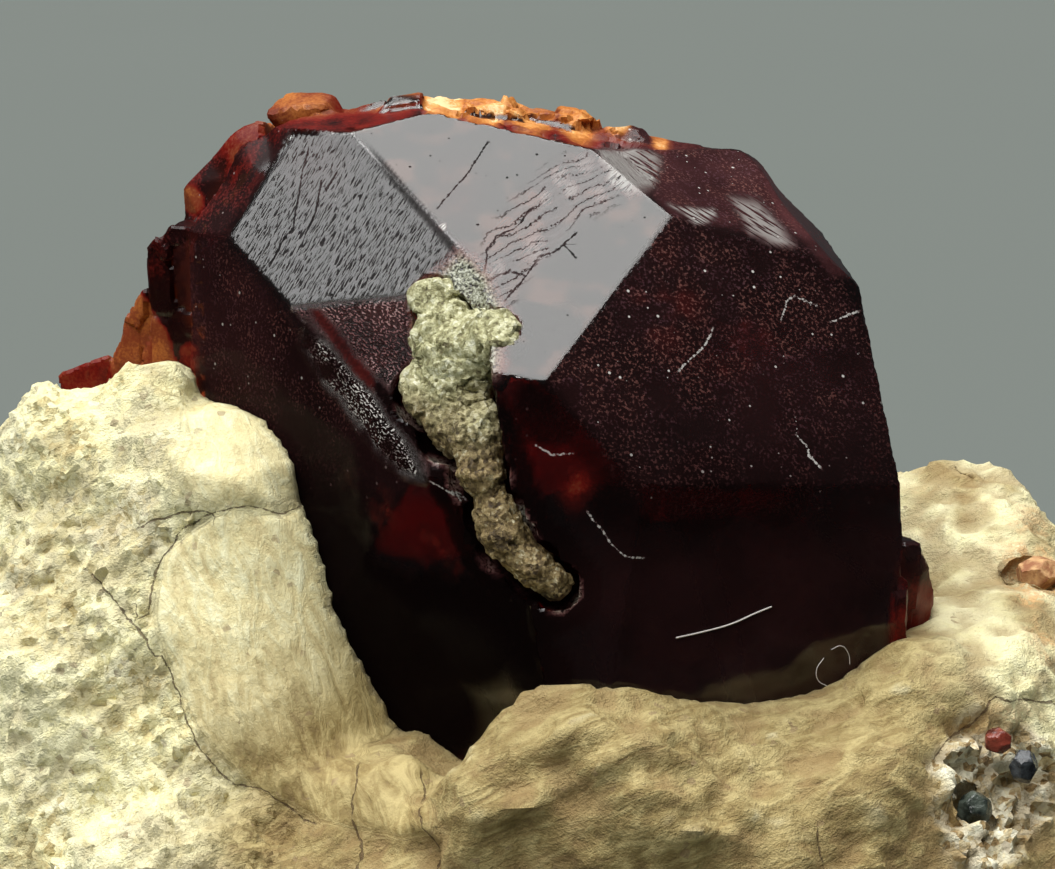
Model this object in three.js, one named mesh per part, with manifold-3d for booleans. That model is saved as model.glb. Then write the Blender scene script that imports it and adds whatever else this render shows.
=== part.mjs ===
// A dark red clinohumite crystal seated in a cream-coloured piece of carbonate rock.
// Millimetres, +Z up, -Y is the display side. The origin is the middle of the flat base.
import * as THREE from "three";
import { ConvexGeometry } from "three/addons/geometries/ConvexGeometry.js";
import { mergeVertices } from "three/addons/utils/BufferGeometryUtils.js";
import Module from "manifold-3d";

// ---------- driving dimensions ----------

const CRYSTAL_CENTRE = new THREE.Vector3(1.5, 0, 14.5);
const SEAT_GAP = 0.3; // clearance round the crystal in its socket, and round the vein in its groove
const GRAIN_GAP = 0.2; // clearance round each small grain
const ROCK_AXIS = new THREE.Vector2(1.5, 0); // the rock's profiles turn about this upright line
const SEAT_HEIGHT = 9; // where the profiles start, inside the crystal
const ROCK_COLUMNS = 116;
const ROCK_ROWS = 29;
const COARSE = { size: 3.4, height: 0.55 }; // the rock's broad lumps
const FINE = { size: 1.5, height: 0.22 }; // and its small ones

// A crystal face: [azimuth, elevation, distance]. Azimuth turns from the front (-Y) to the right
// (+X), elevation rises above the horizon, both in degrees, and the distance is from CRYSTAL_CENTRE.
const RIGHT_PART_FACES = {
  mirror_face: [4, 56, 8.6],
  upper_right: [54, 63, 9.1],
  upper_right_edge: [87, 48, 9.85],
  speckled_front: [31, 39, 8.1],
  lower_front: [26, 3, 8.85],
  vein_side: [-9, 9, 8.9],
  groove_wall: [-91, -10, 1.4],
  right_side: [98, 3, 7.8],
  right_foot: [85, -35, 9.4],
  broken_top: [75, 79, 9.8],
  back_right: [138, 15, 8.3],
  back_shoulder: [160, 50, 10.0],
  back: [190, 20, 7.8],
  back_foot: [180, -40, 8.2],
  foot: [0, -90, 7.2],
};
const LEFT_PART_FACES = {
  striated_front: [-28, 34, 8.65],
  red_front: [-27, 30, 8.45],
  left_flank: [-48, 2, 8.2],
  left_shoulder: [-49, 38, 10.9],
  left_side: [-100, 0, 11.1],
  lower_left: [-35, -8, 8.05],
  mirror_face: [4, 56, 8.6],
  joined_side: [90, 24, -1.2],
  broken_top: [75, 79, 9.8],
  broken_left_top: [-46, 78, 11.15],
  back_left: [218, 12, 8.8],
  back_shoulder: [214, 48, 11.4],
  back: [190, 20, 7.8],
  back_foot: [200, -38, 8.3],
  left_foot: [-90, -35, 9.8],
  foot: [0, -90, 7.3],
};

// Splinters grown on the crystal, each the hull of its corners.
const SPLINTERS = {
  dark_left: [
    [-10.9, 1.2, 21.2], [-10.3, 1.0, 21.9], [-9.4, 0.8, 21.9], [-11.0, 1.2, 19.9], [-10.9, 1.2, 18.3],
    [-10.6, 1.0, 14.6], [-8.5, 0.5, 14.4], [-10.0, 4.5, 21.5], [-8.5, 5.0, 22.3], [-10.2, 4.5, 14.4],
    [-8.0, 5.0, 14.4],
  ],
  orange_left: [
    [-12.3, 3.0, 17.7], [-11.8, 2.8, 18.8], [-11.3, 2.6, 19.7], [-10.2, 2.2, 19.9], [-12.6, 3.0, 16.4],
    [-9.8, 2.0, 14.5], [-10.3, 5.5, 19.2], [-11.4, 5.2, 14.6], [-9.0, 6.0, 14.4],
  ],
  low_left: [
    [-14.2, 3.6, 16.9], [-12.6, 3.2, 17.6], [-13.4, 3.2, 15.4], [-12.0, 3.4, 14.6], [-12.2, 5.5, 17.0],
    [-10.6, 6.0, 14.6], [-10.8, 3.2, 16.6],
  ],
  upper_left: [
    [-10.0, 2.2, 22.9], [-10.0, 2.4, 22.0], [-9.3, 2.2, 23.6], [-7.7, 2.0, 24.8], [-9.2, 1.2, 21.6],
    [-7.6, 1.0, 23.5], [-9.0, 5.5, 22.6], [-7.0, 5.0, 24.2], [-8.0, 5.0, 20.0],
  ],
  right_spur: [
    [10.9, -4.0, 13.9], [11.2, -3.5, 12.8], [11.5, -3.0, 12.0], [11.2, -3.5, 11.0], [11.0, -3.8, 9.6],
    [9.0, -5.0, 14.2], [9.0, -5.0, 9.2], [9.2, 1.0, 13.5], [9.2, 1.0, 9.6], [10.6, 0.5, 12.0],
  ],
};

// Chips left along the broken top edge: [x, y, z, length, thickness, turn in degrees].
const TOP_CHIPS = [
  [-6.2, 2.4, 24.9, 1.3, 0.7, 10],
  [-4.4, 2.2, 25.0, 1.1, 0.5, -30],
  [-3.4, 1.6, 25.2, 0.9, 0.6, 20],
  [-1.3, 2.6, 25.0, 1.7, 0.5, -10],
  [0.8, 2.9, 24.7, 1.6, 0.5, 30],
  [2.6, 2.6, 24.3, 1.2, 0.4, -20],
];

// The vein: [x, y, z, radius] of each knob, from its top to its foot.
const VEIN_KNOBS = [
  [-2.5, -4.5, 20.8, 0.45],
  [-2.2, -5.0, 20.2, 0.7],
  [-1.6, -5.7, 19.5, 1.1],
  [-0.9, -6.2, 20.0, 0.65],
  [-2.6, -5.8, 18.5, 0.75],
  [-1.8, -6.2, 18.6, 0.9],
  [-1.9, -6.6, 17.8, 0.85],
  [-1.3, -7.2, 17.8, 0.8],
  [-1.2, -7.7, 16.9, 0.7],
  [-0.8, -8.0, 15.8, 0.7],
  [-0.5, -8.2, 15.1, 0.7],
  [0.2, -8.4, 14.5, 0.65],
  [0.8, -8.6, 14.1, 0.5],
];

// Swells and hollows of the rock: the middle, the azimuth and elevation it faces, a turn about that
// direction, the half sizes across and along, the height (negative for a hollow) and how much of
// it is level before it falls away, from 0 to 1.
const ROCK_RELIEF = {
  smooth_slab: [[-6.9, -5.6, 11.3], [12, 26], 32, [3.3, 6.6], 0.55, 0.75],
  upper_knob: [[-8.4, -2.8, 15.8], [-5, 45], 0, [2.8, 2.2], 0.55, 0.5],
  left_peak: [[-10.8, -0.4, 17.2], [-20, 80], 0, [1.6, 1.6], 0.9, 0.3],
  left_top: [[-15.0, -1.0, 16.2], [-30, 70], 20, [3.2, 2.6], 0.7, 0.3],
  left_flank: [[-14.0, -5.4, 11.0], [-25, 30], 0, [3.0, 2.4], 0.8, 0.4],
  left_foot: [[-10.0, -9.6, 6.6], [-20, 35], 20, [3.6, 1.8], 0.9, 0.5],
  front_left: [[-1.4, -11.0, 8.6], [-30, 40], 10, [2.8, 1.5], 0.5, 0.4],
  front_middle: [[2.2, -11.2, 10.4], [8, 50], -8, [2.4, 1.0], 0.45, 0.4],
  front_ledge: [[3.6, -12.4, 8.8], [10, 40], -38, [3.0, 0.9], 0.7, 0.4],
  front_recess: [[1.6, -13.4, 6.2], [0, 25], 10, [3.2, 1.8], -0.9, 0.5],
  front_right: [[8.4, -10.2, 9.2], [25, 50], 0, [2.4, 1.8], 0.5, 0.4],
  right_knob: [[10.4, -7.2, 10.8], [20, 60], 20, [2.2, 1.4], 0.45, 0.4],
  grain_pit: [[12.4, -9.4, 9.2], [15, 45], -15, [2.0, 2.3], -0.5, 0.3],
  right_flank: [[16.0, -7.0, 7.6], [60, 30], 0, [2.8, 2.6], 1.1, 0.4],
  rear_knob: [[14.6, 6.0, 13.0], [110, 60], 0, [2.4, 3.0], 0.5, 0.3],
  back_lump: [[-4.5, 11.4, 8.0], [200, 20], 0, [4.2, 2.6], 1.3, 0.4],
  back_hollow: [[4.5, 12.4, 6.5], [165, 10], 0, [3.0, 2.6], -1.0, 0.3],
};

// Flat breaks of the rock: [azimuth, elevation, distance] as for the crystal, but from ROCK_CENTRE.
// What would stand outside a break is pressed back to it.
const ROCK_CENTRE = new THREE.Vector3(0, 0, 6);
const ROCK_BREAKS = {
  left: [-96, 6, 20.3],
  left_front: [-58, 34, 15.6],
  left_rear: [-128, 30, 15.2],
  rear: [176, 24, 12.8],
  rear_right: [140, 10, 15.0],
  right: [92, 14, 17.8],
  right_front: [52, 28, 15.2],
  front_left: [-18, 12, 13.6],
};

// Small grains held in the rock: the middle, the half sizes and a turn in degrees.
const GRAINS = {
  red_grain: { middle: [12.5, -9.0, 9.9], half: [0.42, 0.4, 0.34], turn: 20, colour: 0x5a1a12 },
  dark_grain_upper: { middle: [13.1, -9.3, 9.3], half: [0.42, 0.4, 0.5], turn: 70, colour: 0x2c3032 },
  dark_grain_lower: { middle: [11.7, -10.0, 8.4], half: [0.5, 0.4, 0.5], turn: 10, colour: 0x2c3032 },
  rusty_grain: { middle: [15.0, 0.2, 11.8], half: [0.9, 0.7, 0.5], turn: 40, colour: 0xa85f2a },
};

// The rock's outline. Each row is one direction: azimuth in degrees, then the crest beside the
// crystal (radius, height), the outer shoulder (radius, height) and the flank's radius low down.
const ROCK_OUTLINE = [
  [-180, 9.9, 13.0, 12.4, 11.0, 14.6],
  [-150, 10.0, 14.2, 13.4, 12.4, 16.0],
  [-120, 11.0, 15.6, 15.0, 14.6, 18.8],
  [-103, 11.6, 16.8, 16.5, 15.8, 21.0],
  [-88, 11.2, 17.0, 17.0, 16.2, 21.6],
  [-78, 9.9, 16.6, 14.5, 15.0, 20.6],
  [-68, 9.1, 15.6, 13.0, 12.8, 19.2],
  [-60, 8.9, 13.0, 12.5, 10.5, 18.2],
  [-52, 8.3, 10.4, 12.0, 9.2, 17.2],
  [-44, 7.8, 8.4, 12.0, 7.6, 16.2],
  [-30, 8.0, 8.6, 12.0, 7.6, 15.0],
  [-19, 8.7, 9.1, 12.0, 8.0, 14.6],
  [-10, 9.8, 11.4, 12.6, 8.8, 14.4],
  [5, 9.9, 11.7, 12.8, 9.0, 14.6],
  [18, 9.4, 11.0, 13.2, 8.6, 15.2],
  [45, 9.7, 10.8, 14.5, 8.6, 17.2],
  [58, 10.4, 11.5, 15.5, 9.6, 18.2],
  [90, 10.4, 11.6, 15.8, 10.8, 19.0],
  [115, 9.4, 12.2, 15.0, 12.4, 18.4],
  [135, 9.3, 12.6, 14.4, 11.8, 17.2],
  [158, 9.4, 12.9, 12.8, 11.2, 15.4],
];

// ---------- helpers ----------

const degrees = THREE.MathUtils.degToRad;

const wasm = await Module();
wasm.setup();

// A closed three.js geometry as a solid that can be joined and cut.
function solidFrom(geometry) {
  const bare = new THREE.BufferGeometry();
  bare.setAttribute("position", geometry.getAttribute("position"));
  bare.setIndex(geometry.index);
  const merged = mergeVertices(bare, 1e-4);
  return new wasm.Manifold(
    new wasm.Mesh({
      numProp: 3,
      vertProperties: new Float32Array(merged.attributes.position.array),
      triVerts: new Uint32Array(merged.index.array),
    }),
  );
}

function geometryFrom(solid) {
  const mesh = solid.getMesh();
  const geometry = new THREE.BufferGeometry();
  geometry.setAttribute("position", new THREE.BufferAttribute(mesh.vertProperties, mesh.numProp));
  geometry.setIndex(new THREE.BufferAttribute(mesh.triVerts, 1));
  geometry.computeVertexNormals();
  return geometry;
}

function joined(solids) {
  return solids.reduce((whole, solid) => whole.add(solid));
}

function direction(azimuth, elevation) {
  const a = degrees(azimuth);
  const e = degrees(elevation);
  return new THREE.Vector3(Math.sin(a) * Math.cos(e), -Math.cos(a) * Math.cos(e), Math.sin(e));
}

// A repeatable number from 0 to 1 for each whole-numbered place.
function lattice(x, y, z) {
  let h = Math.imul(x, 374761393) ^ Math.imul(y, 668265263) ^ Math.imul(z, 2147483647);
  h = Math.imul(h ^ (h >>> 13), 1274126177);
  return ((h ^ (h >>> 16)) >>> 0) / 4294967296;
}

// Smooth noise from -1 to 1 with lumps about one unit apart.
function noise(p) {
  const base = p.clone().floor();
  const f = p.clone().sub(base);
  const [u, v, w] = f.toArray().map((t) => t * t * (3 - 2 * t));
  let sum = 0;
  for (const i of [0, 1]) {
    for (const j of [0, 1]) {
      for (const k of [0, 1]) {
        const weight = (i ? u : 1 - u) * (j ? v : 1 - v) * (k ? w : 1 - w);
        sum += weight * lattice(base.x + i, base.y + j, base.z + k);
      }
    }
  }
  return 2 * sum - 1;
}

// The convex solid that lies behind all of the faces, each moved outwards by `grow`.
function facetedSolid(faces, centre, grow = 0) {
  const planes = Object.values(faces).map(([azimuth, elevation, distance]) => {
    const normal = direction(azimuth, elevation);
    return new THREE.Plane(normal, -(distance + grow) - normal.dot(centre));
  });
  const corners = [];
  const matrix = new THREE.Matrix3();
  for (let i = 0; i < planes.length; i++) {
    for (let j = i + 1; j < planes.length; j++) {
      for (let k = j + 1; k < planes.length; k++) {
        const [p, q, r] = [planes[i], planes[j], planes[k]];
        matrix.set(...p.normal.toArray(), ...q.normal.toArray(), ...r.normal.toArray());
        if (Math.abs(matrix.determinant()) < 1e-6) continue;
        const corner = new THREE.Vector3(-p.constant, -q.constant, -r.constant);
        corner.applyMatrix3(matrix.clone().invert());
        const inside = planes.every((plane) => plane.distanceToPoint(corner) < 1e-6);
        const fresh = corners.every((other) => other.distanceTo(corner) > 1e-3);
        if (inside && fresh) corners.push(corner);
      }
    }
  }
  return solidFrom(new ConvexGeometry(corners));
}

// The hull of some corners, swollen by `grow` away from its middle. A sharp corner stands further
// out than its faces do, so it moves by CORNER_REACH times as much.
const CORNER_REACH = 1.6;

function splinter(corners, grow = 0) {
  const points = corners.map((corner) => new THREE.Vector3(...corner));
  const middle = new THREE.Box3().setFromPoints(points).getCenter(new THREE.Vector3());
  for (const point of points) {
    const arm = point.clone().sub(middle);
    point.add(arm.setLength(grow * CORNER_REACH));
  }
  return solidFrom(new ConvexGeometry(points));
}

// A flat angular chip about (x, y, z): the hull of corners wound from its top to its bottom.
const CHIP_CORNERS = 11;
const GOLDEN_ANGLE = 2.4;
const CHIP_WIDTH = 0.7; // share of the length

function chip([x, y, z, length, thickness, turn], grow = 0) {
  const points = [];
  for (let i = 0; i < CHIP_CORNERS; i++) {
    const height = 1 - (2 * (i + 0.5)) / CHIP_CORNERS;
    const angle = i * GOLDEN_ANGLE + degrees(turn);
    const uneven = 0.8 + 0.4 * lattice(i, Math.round(x * 10), 3);
    const reach = Math.sqrt(1 - height * height) * uneven * (length + grow);
    points.push(
      new THREE.Vector3(
        x + Math.cos(angle) * reach,
        y + Math.sin(angle) * reach * CHIP_WIDTH,
        z + height * (thickness + grow),
      ),
    );
  }
  return solidFrom(new ConvexGeometry(points));
}

// Each entry of ROCK_RELIEF as a function of a point that gives its rise there.
const reliefs = Object.values(ROCK_RELIEF).map(([middle, facing, turn, half, height, level]) => {
  const outward = direction(...facing);
  const across = new THREE.Vector3(-outward.y, outward.x, 0).normalize();
  const along = outward.clone().cross(across);
  const place = new THREE.Matrix4().makeBasis(across, along, outward);
  place.multiply(new THREE.Matrix4().makeRotationZ(degrees(turn)));
  place.multiply(new THREE.Matrix4().makeScale(half[0], half[1], Math.max(...half)));
  place.setPosition(...middle);
  const unplace = place.invert();
  return (p) => {
    const distance = p.clone().applyMatrix4(unplace).length();
    return height * (1 - THREE.MathUtils.smoothstep(distance, level, 1));
  };
});

const breaks = Object.values(ROCK_BREAKS).map(([azimuth, elevation, distance]) => {
  const normal = direction(azimuth, elevation);
  return new THREE.Plane(normal, -distance - normal.dot(ROCK_CENTRE));
});

// Moves each corner of the rock in or out by its relief and roughness. The flat base stays flat.
function roughened(geometry) {
  const bare = new THREE.BufferGeometry();
  bare.setAttribute("position", geometry.getAttribute("position"));
  bare.setIndex(geometry.index);
  const merged = mergeVertices(bare, 1e-4);
  merged.computeVertexNormals();
  const { position, normal } = merged.attributes;
  const p = new THREE.Vector3();
  const n = new THREE.Vector3();
  for (let i = 0; i < position.count; i++) {
    p.fromBufferAttribute(position, i);
    n.fromBufferAttribute(normal, i);
    const reach = Math.hypot(p.x - ROCK_AXIS.x, p.y - ROCK_AXIS.y);
    const strength = 0.3 + 0.7 * THREE.MathUtils.smoothstep(reach, 9.5, 13);
    let move = 0;
    for (const { size, height } of [COARSE, FINE]) {
      move += strength * height * noise(p.clone().divideScalar(size));
    }
    for (const rise of reliefs) {
      move += rise(p);
    }
    p.addScaledVector(n, move * THREE.MathUtils.smoothstep(p.z, 0, 2));
    position.setXYZ(i, p.x, p.y, p.z);
  }
  return merged;
}

// ---------- pieces ----------

// The two parts, the core where they grew together, and what has splintered along their edges.
function crystalSolid(grow = 0) {
  const { groove_wall, ...rightOutside } = RIGHT_PART_FACES;
  const { joined_side, ...leftOutside } = LEFT_PART_FACES;
  const coreFaces = { ...rightOutside };
  for (const [name, face] of Object.entries(leftOutside)) {
    coreFaces["left_" + name] = face;
  }
  return joined([
    facetedSolid(coreFaces, CRYSTAL_CENTRE, grow),
    facetedSolid(RIGHT_PART_FACES, CRYSTAL_CENTRE, grow),
    facetedSolid(LEFT_PART_FACES, CRYSTAL_CENTRE, grow),
    ...Object.values(SPLINTERS).map((corners) => splinter(corners, grow)),
    ...TOP_CHIPS.map((place) => chip(place, grow)),
  ]);
}

// One column of ROCK_OUTLINE at any azimuth, by a smooth curve through its rows that closes on
// itself.
function outlineAt(azimuth, column) {
  const rows = ROCK_OUTLINE;
  const count = rows.length;
  let i = rows.findIndex((row) => row[0] > azimuth) - 1;
  if (i < 0) i = count - 1;
  const at = (k) => {
    const turns = Math.floor(k / count);
    return [rows[k - turns * count][0] + 360 * turns, rows[k - turns * count][column]];
  };
  const [a, b, c, d] = [at(i - 1), at(i), at(i + 1), at(i + 2)];
  const span = c[0] - b[0];
  const t = (azimuth - b[0]) / span;
  const slopeB = ((c[1] - a[1]) / (c[0] - a[0])) * span;
  const slopeC = ((d[1] - b[1]) / (d[0] - b[0])) * span;
  const t2 = t * t;
  const t3 = t2 * t;
  const start = (2 * t3 - 3 * t2 + 1) * b[1] + (t3 - 2 * t2 + t) * slopeB;
  return start + (3 * t2 - 2 * t3) * c[1] + (t3 - t2) * slopeC;
}

// Moves a corner that stands outside a break back onto it, without sinking it far.
function pressToBreaks(corner) {
  const height = corner.z;
  for (const plane of breaks) {
    corner.addScaledVector(plane.normal, -Math.max(0, plane.distanceToPoint(corner)));
  }
  corner.z = THREE.MathUtils.clamp(corner.z, height * 0.8, height);
}

function rockSolid() {
  const positions = [];
  const index = [];
  for (let c = 0; c < ROCK_COLUMNS; c++) {
    const azimuth = -180 + (360 * c) / ROCK_COLUMNS;
    const [crestR, crestZ, shoulderR, shoulderZ, flankR] = [1, 2, 3, 4, 5].map((k) => outlineAt(azimuth, k));
    const profile = new THREE.CatmullRomCurve3(
      [
        new THREE.Vector3(3, 0, SEAT_HEIGHT),
        new THREE.Vector3(crestR - 2.5, 0, crestZ - 3),
        new THREE.Vector3(crestR, 0, crestZ),
        new THREE.Vector3(shoulderR, 0, shoulderZ),
        new THREE.Vector3(flankR, 0, shoulderZ * 0.4),
        new THREE.Vector3(flankR * 0.97, 0, 0),
      ],
      false,
      "centripetal",
    );
    for (let r = 0; r < ROCK_ROWS; r++) {
      const p = profile.getPoint(r / (ROCK_ROWS - 1));
      const corner = direction(azimuth, 0).multiplyScalar(p.x);
      corner.add(new THREE.Vector3(ROCK_AXIS.x, ROCK_AXIS.y, p.z));
      pressToBreaks(corner);
      positions.push(...corner.toArray());
    }
  }
  const top = positions.length / 3;
  positions.push(ROCK_AXIS.x, ROCK_AXIS.y, SEAT_HEIGHT);
  positions.push(ROCK_AXIS.x, ROCK_AXIS.y, 0);
  const bottom = top + 1;
  for (let c = 0; c < ROCK_COLUMNS; c++) {
    const here = c * ROCK_ROWS;
    const next = ((c + 1) % ROCK_COLUMNS) * ROCK_ROWS;
    index.push(top, here, next);
    for (let r = 0; r < ROCK_ROWS - 1; r++) {
      index.push(here + r, here + r + 1, next + r);
      index.push(next + r, here + r + 1, next + r + 1);
    }
    index.push(bottom, next + ROCK_ROWS - 1, here + ROCK_ROWS - 1);
  }
  const geometry = new THREE.BufferGeometry();
  geometry.setAttribute("position", new THREE.Float32BufferAttribute(positions, 3));
  geometry.setIndex(index);
  return solidFrom(roughened(geometry));
}

function veinSolid(grow = 0) {
  const knobs = VEIN_KNOBS.map(([x, y, z, radius]) => {
    const ball = new THREE.IcosahedronGeometry(radius + grow, 1);
    return solidFrom(ball.translate(x, y, z));
  });
  return joined(knobs);
}

// An angular grain, the hull of a few points spread over an ellipsoid.
function grainSolid({ middle, half, turn }, grow = 0) {
  const place = new THREE.Matrix4().makeRotationZ(degrees(turn));
  place.scale(new THREE.Vector3(...half.map((size) => size + grow)));
  place.setPosition(...middle);
  return solidFrom(new THREE.DodecahedronGeometry(1).applyMatrix4(place));
}

function matrixSolid() {
  const seats = Object.values(GRAINS).map((grain) => grainSolid(grain, GRAIN_GAP));
  return rockSolid().subtract(joined([crystalSolid(SEAT_GAP), ...seats]));
}

// ---------- assembly ----------

const specimen = new THREE.Group();

function addPiece(name, solid, colour, roughness) {
  const material = new THREE.MeshStandardMaterial({ color: colour, roughness, metalness: 0 });
  const mesh = new THREE.Mesh(geometryFrom(solid), material);
  mesh.name = name;
  specimen.add(mesh);
}

addPiece("clinohumite_crystal", crystalSolid().subtract(veinSolid(SEAT_GAP)), 0x3a0808, 0.12);
addPiece("vein_filling", veinSolid(), 0x6a6444, 0.9);
addPiece("matrix", matrixSolid(), 0xe6d6a4, 0.85);
for (const [name, grain] of Object.entries(GRAINS)) {
  addPiece(name, grainSolid(grain), grain.colour, 0.4);
}

export default specimen;
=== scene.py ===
"""A gemmy clinohumite crystal in its chalky matrix: surfaces, finishes, stage, light and camera.

Points and sizes are in millimetres while a surface is shaped, and in metres on the finished pieces.
The display side of the specimen faces -Y, X runs to the right and Z up.
"""

import math

import bpy
import numpy as np
from mathutils import Matrix, Vector
from mathutils.bvhtree import BVHTree


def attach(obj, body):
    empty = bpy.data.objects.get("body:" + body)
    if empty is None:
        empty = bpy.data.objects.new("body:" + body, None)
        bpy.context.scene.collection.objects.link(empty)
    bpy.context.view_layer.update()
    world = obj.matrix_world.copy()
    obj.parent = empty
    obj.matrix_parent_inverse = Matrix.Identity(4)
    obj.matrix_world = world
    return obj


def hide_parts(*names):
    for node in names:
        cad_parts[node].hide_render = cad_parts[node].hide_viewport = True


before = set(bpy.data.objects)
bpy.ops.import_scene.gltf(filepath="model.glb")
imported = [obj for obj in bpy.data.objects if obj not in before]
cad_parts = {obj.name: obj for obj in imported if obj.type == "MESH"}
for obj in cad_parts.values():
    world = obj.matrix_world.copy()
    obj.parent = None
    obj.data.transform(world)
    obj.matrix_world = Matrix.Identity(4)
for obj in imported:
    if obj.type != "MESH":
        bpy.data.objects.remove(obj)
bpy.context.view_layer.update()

bl_info = {
    "name": "Clinohumite on matrix",
    "version": (1, 0, 0),
    "blender": (4, 5, 0),
    "location": "3D View > Sidebar > Specimen",
    "description": "Builds the crystal, its vein, the matrix with its grains, and a small studio",
    "category": "Add Mesh",
}

BODY = "root"
MM = 0.001
MERGE_DISTANCE = 5e-7  # in metres
FAR = 100.0  # further than anything on the specimen
LEAST_GAP = 0.05  # keeps a division by the gap safe
OCTAVE_SHIFT = 17.3  # keeps the octaves of a noise from lining up
HASH_PRIMES = [np.uint32(prime) for prime in (374761393, 668265263, 2246822519, 3266489917)]

# The ways that the flat faces look, in degrees from -Y towards +X and in degrees up, and the turns
# of the lines on two of them.
STRIATED_WAY = (-28, 34)
GROWTH_TURN = -14
MIRROR_WAY = (4, 56)
RED_WAY = (-27, 30)
SLAB_WAY = (-10, 28)
BRUSHED_TURN = 24

# The flakes of the broken top edge: their stretch along each axis, their size in mm and their seed.
FLAKE_STRETCH = (0.55, 0.9, 1.6)
FLAKE_SIZE = 0.42
FLAKE_SEED = 41

# ---------------------------------------------------------------- places on the crystal (x, z in mm)

STRIATED_FACE = [(-6.5, 24.9), (-8.4, 21.9), (-6.5, 20.3), (-2.4, 21.0), (-1.1, 21.5), (-5.0, 24.9)]
MIRROR_FACE = [(-5.0, 24.9), (-4.1, 25.6), (-3.3, 25.6), (1.8, 24.6), (3.9, 22.9), (0.5, 19.4),
               (-0.9, 19.5), (-1.0, 21.6)]
RED_FACE = [(-6.5, 20.4), (-2.4, 21.1), (-2.9, 18.7), (-2.6, 16.6), (-4.3, 18.2)]
TERRACES = [(-1.2, 21.9), (-1.2, 22.5), (-0.4, 23.2), (0.4, 23.9), (1.2, 24.4), (2.2, 24.3), (3.0, 23.8),
            (2.4, 23.2), (1.5, 22.9), (1.0, 22.4), (0.2, 21.8), (-0.4, 21.0), (-0.9, 20.9)]
SPECKLED_FRONT = [(3.9, 22.9), (8.3, 21.8), (9.4, 19.6), (10.2, 18.6), (10.4, 15.4), (6.0, 15.6),
                  (3.0, 16.2), (1.6, 18.2), (0.5, 19.5)]
UPPER_RIGHT_FACE = [(1.8, 24.7), (3.0, 25.2), (6.4, 24.8), (7.6, 23.6), (8.5, 21.7), (6.5, 22.2),
                    (3.9, 22.9)]
LEFT_FACE = [(-8.5, 21.8), (-10.3, 21.6), (-9.4, 17.3), (-6.9, 15.0), (-5.0, 12.0), (-2.9, 16.4),
             (-6.5, 20.2)]
CRUST = [(-2.7, 21.3), (-1.8, 22.2), (-1.1, 21.7), (-0.4, 20.6), (-0.9, 19.5), (-2.0, 19.9)]
SPARKLING_BAND = [(-6.1, 20.0), (-5.2, 19.5), (-4.4, 18.8), (-3.5, 17.9), (-2.9, 17.1), (-2.7, 16.5),
                  (-3.5, 16.6), (-4.3, 17.2), (-5.2, 18.1), (-5.9, 18.9), (-6.3, 19.4)]
# The red stripe is a painted reflection inside the crystal.
RED_STRIPE = [(-6.0, 20.3), (-5.6, 20.3), (-4.9, 19.6), (-4.0, 18.8), (-3.1, 18.0), (-2.8, 17.2),
              (-3.3, 17.6), (-4.2, 18.5), (-5.0, 19.3)]
TOP_RIM = [(-8.4, 24.0), (-6.2, 24.7), (-4.2, 25.2), (2.0, 24.4), (4.8, 23.9), (4.8, 25.0), (2.0, 26.2),
           (-7.0, 26.2)]
LEFT_SHARDS = [(-15.0, 15.0), (-9.4, 15.0), (-9.2, 22.0), (-8.4, 24.4), (-11.5, 24.4), (-15.0, 18.0)]
LEFT_SHOULDER = [(-6.3, 25.0), (-6.6, 24.9), (-8.6, 21.9), (-9.6, 21.4), (-10.6, 22.5), (-9.6, 24.2),
                 (-7.6, 25.6), (-5.6, 25.9), (-5.2, 25.2)]
ORANGE_SHARD = [(-11.4, 19.7), (-12.1, 18.5), (-12.5, 17.6), (-12.3, 16.8), (-10.6, 16.8), (-10.2, 17.9),
                (-10.5, 18.9)]
SHARD_TIP = [(-12.4, 18.0), (-14.6, 17.2), (-14.2, 16.0), (-12.3, 16.6)]
DARK_SHARD = [(-11.4, 21.2), (-10.7, 22.0), (-10.0, 21.7), (-9.9, 20.4), (-9.9, 18.9), (-10.4, 18.9),
              (-11.1, 20.0)]
# Painted reflection and painted highlights: grey streaks, a bright bevel and a striped bevel.
GREY_STREAKS = [(1.9, 24.4), (2.9, 24.4), (3.8, 23.9), (3.5, 23.4), (2.8, 23.3), (2.3, 23.6)]
BRIGHT_BEVEL = [(3.9, 23.1), (4.6, 22.9), (5.3, 22.75), (5.2, 22.6), (4.5, 22.6)]
STRIPED_BEVEL = [(5.7, 22.95), (6.5, 22.75), (7.1, 22.3), (7.5, 21.8), (6.8, 21.9), (6.2, 22.3)]
# A narrow strip at the right edge with a painted reflection.
EDGE_STRIP = [(6.6, 23.8), (7.2, 23.5), (8.4, 22.0), (9.0, 20.9), (8.5, 21.0), (7.8, 21.8), (7.2, 22.4),
              (6.8, 23.0)]

# Thin lines drawn on the display side: painted shade along the edge between two faces, dark cracks and
# pale scratches.
FACE_EDGE = [(-5.0, 24.9), (-3.5, 23.6), (-2.1, 22.3), (-1.1, 21.5)]
CRYSTAL_CRACKS = [
    [(-2.35, 23.25), (-2.0, 23.6), (-1.6, 23.95), (-1.2, 24.45)],
    [(-0.5, 21.2), (-0.2, 21.5), (0.1, 21.8), (0.3, 22.0), (0.7, 22.1), (0.9, 22.2), (1.2, 22.45)],
    [(1.05, 22.25), (1.2, 22.1)],
    [(-1.15, 21.5), (-1.1, 22.15), (-0.85, 22.45), (-0.4, 22.6), (0.0, 22.95)],
    [(-0.9, 21.6), (-0.5, 21.75), (-0.1, 21.65)],
    [(-6.2, 24.2), (-6.35, 23.4), (-6.5, 22.5)],
    [(-5.8, 23.4), (-5.9, 22.8), (-6.1, 22.3)],
    [(-6.55, 22.3), (-6.8, 22.0), (-7.1, 21.5)],
    [(-5.4, 23.7), (-5.6, 23.4)],
]
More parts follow.
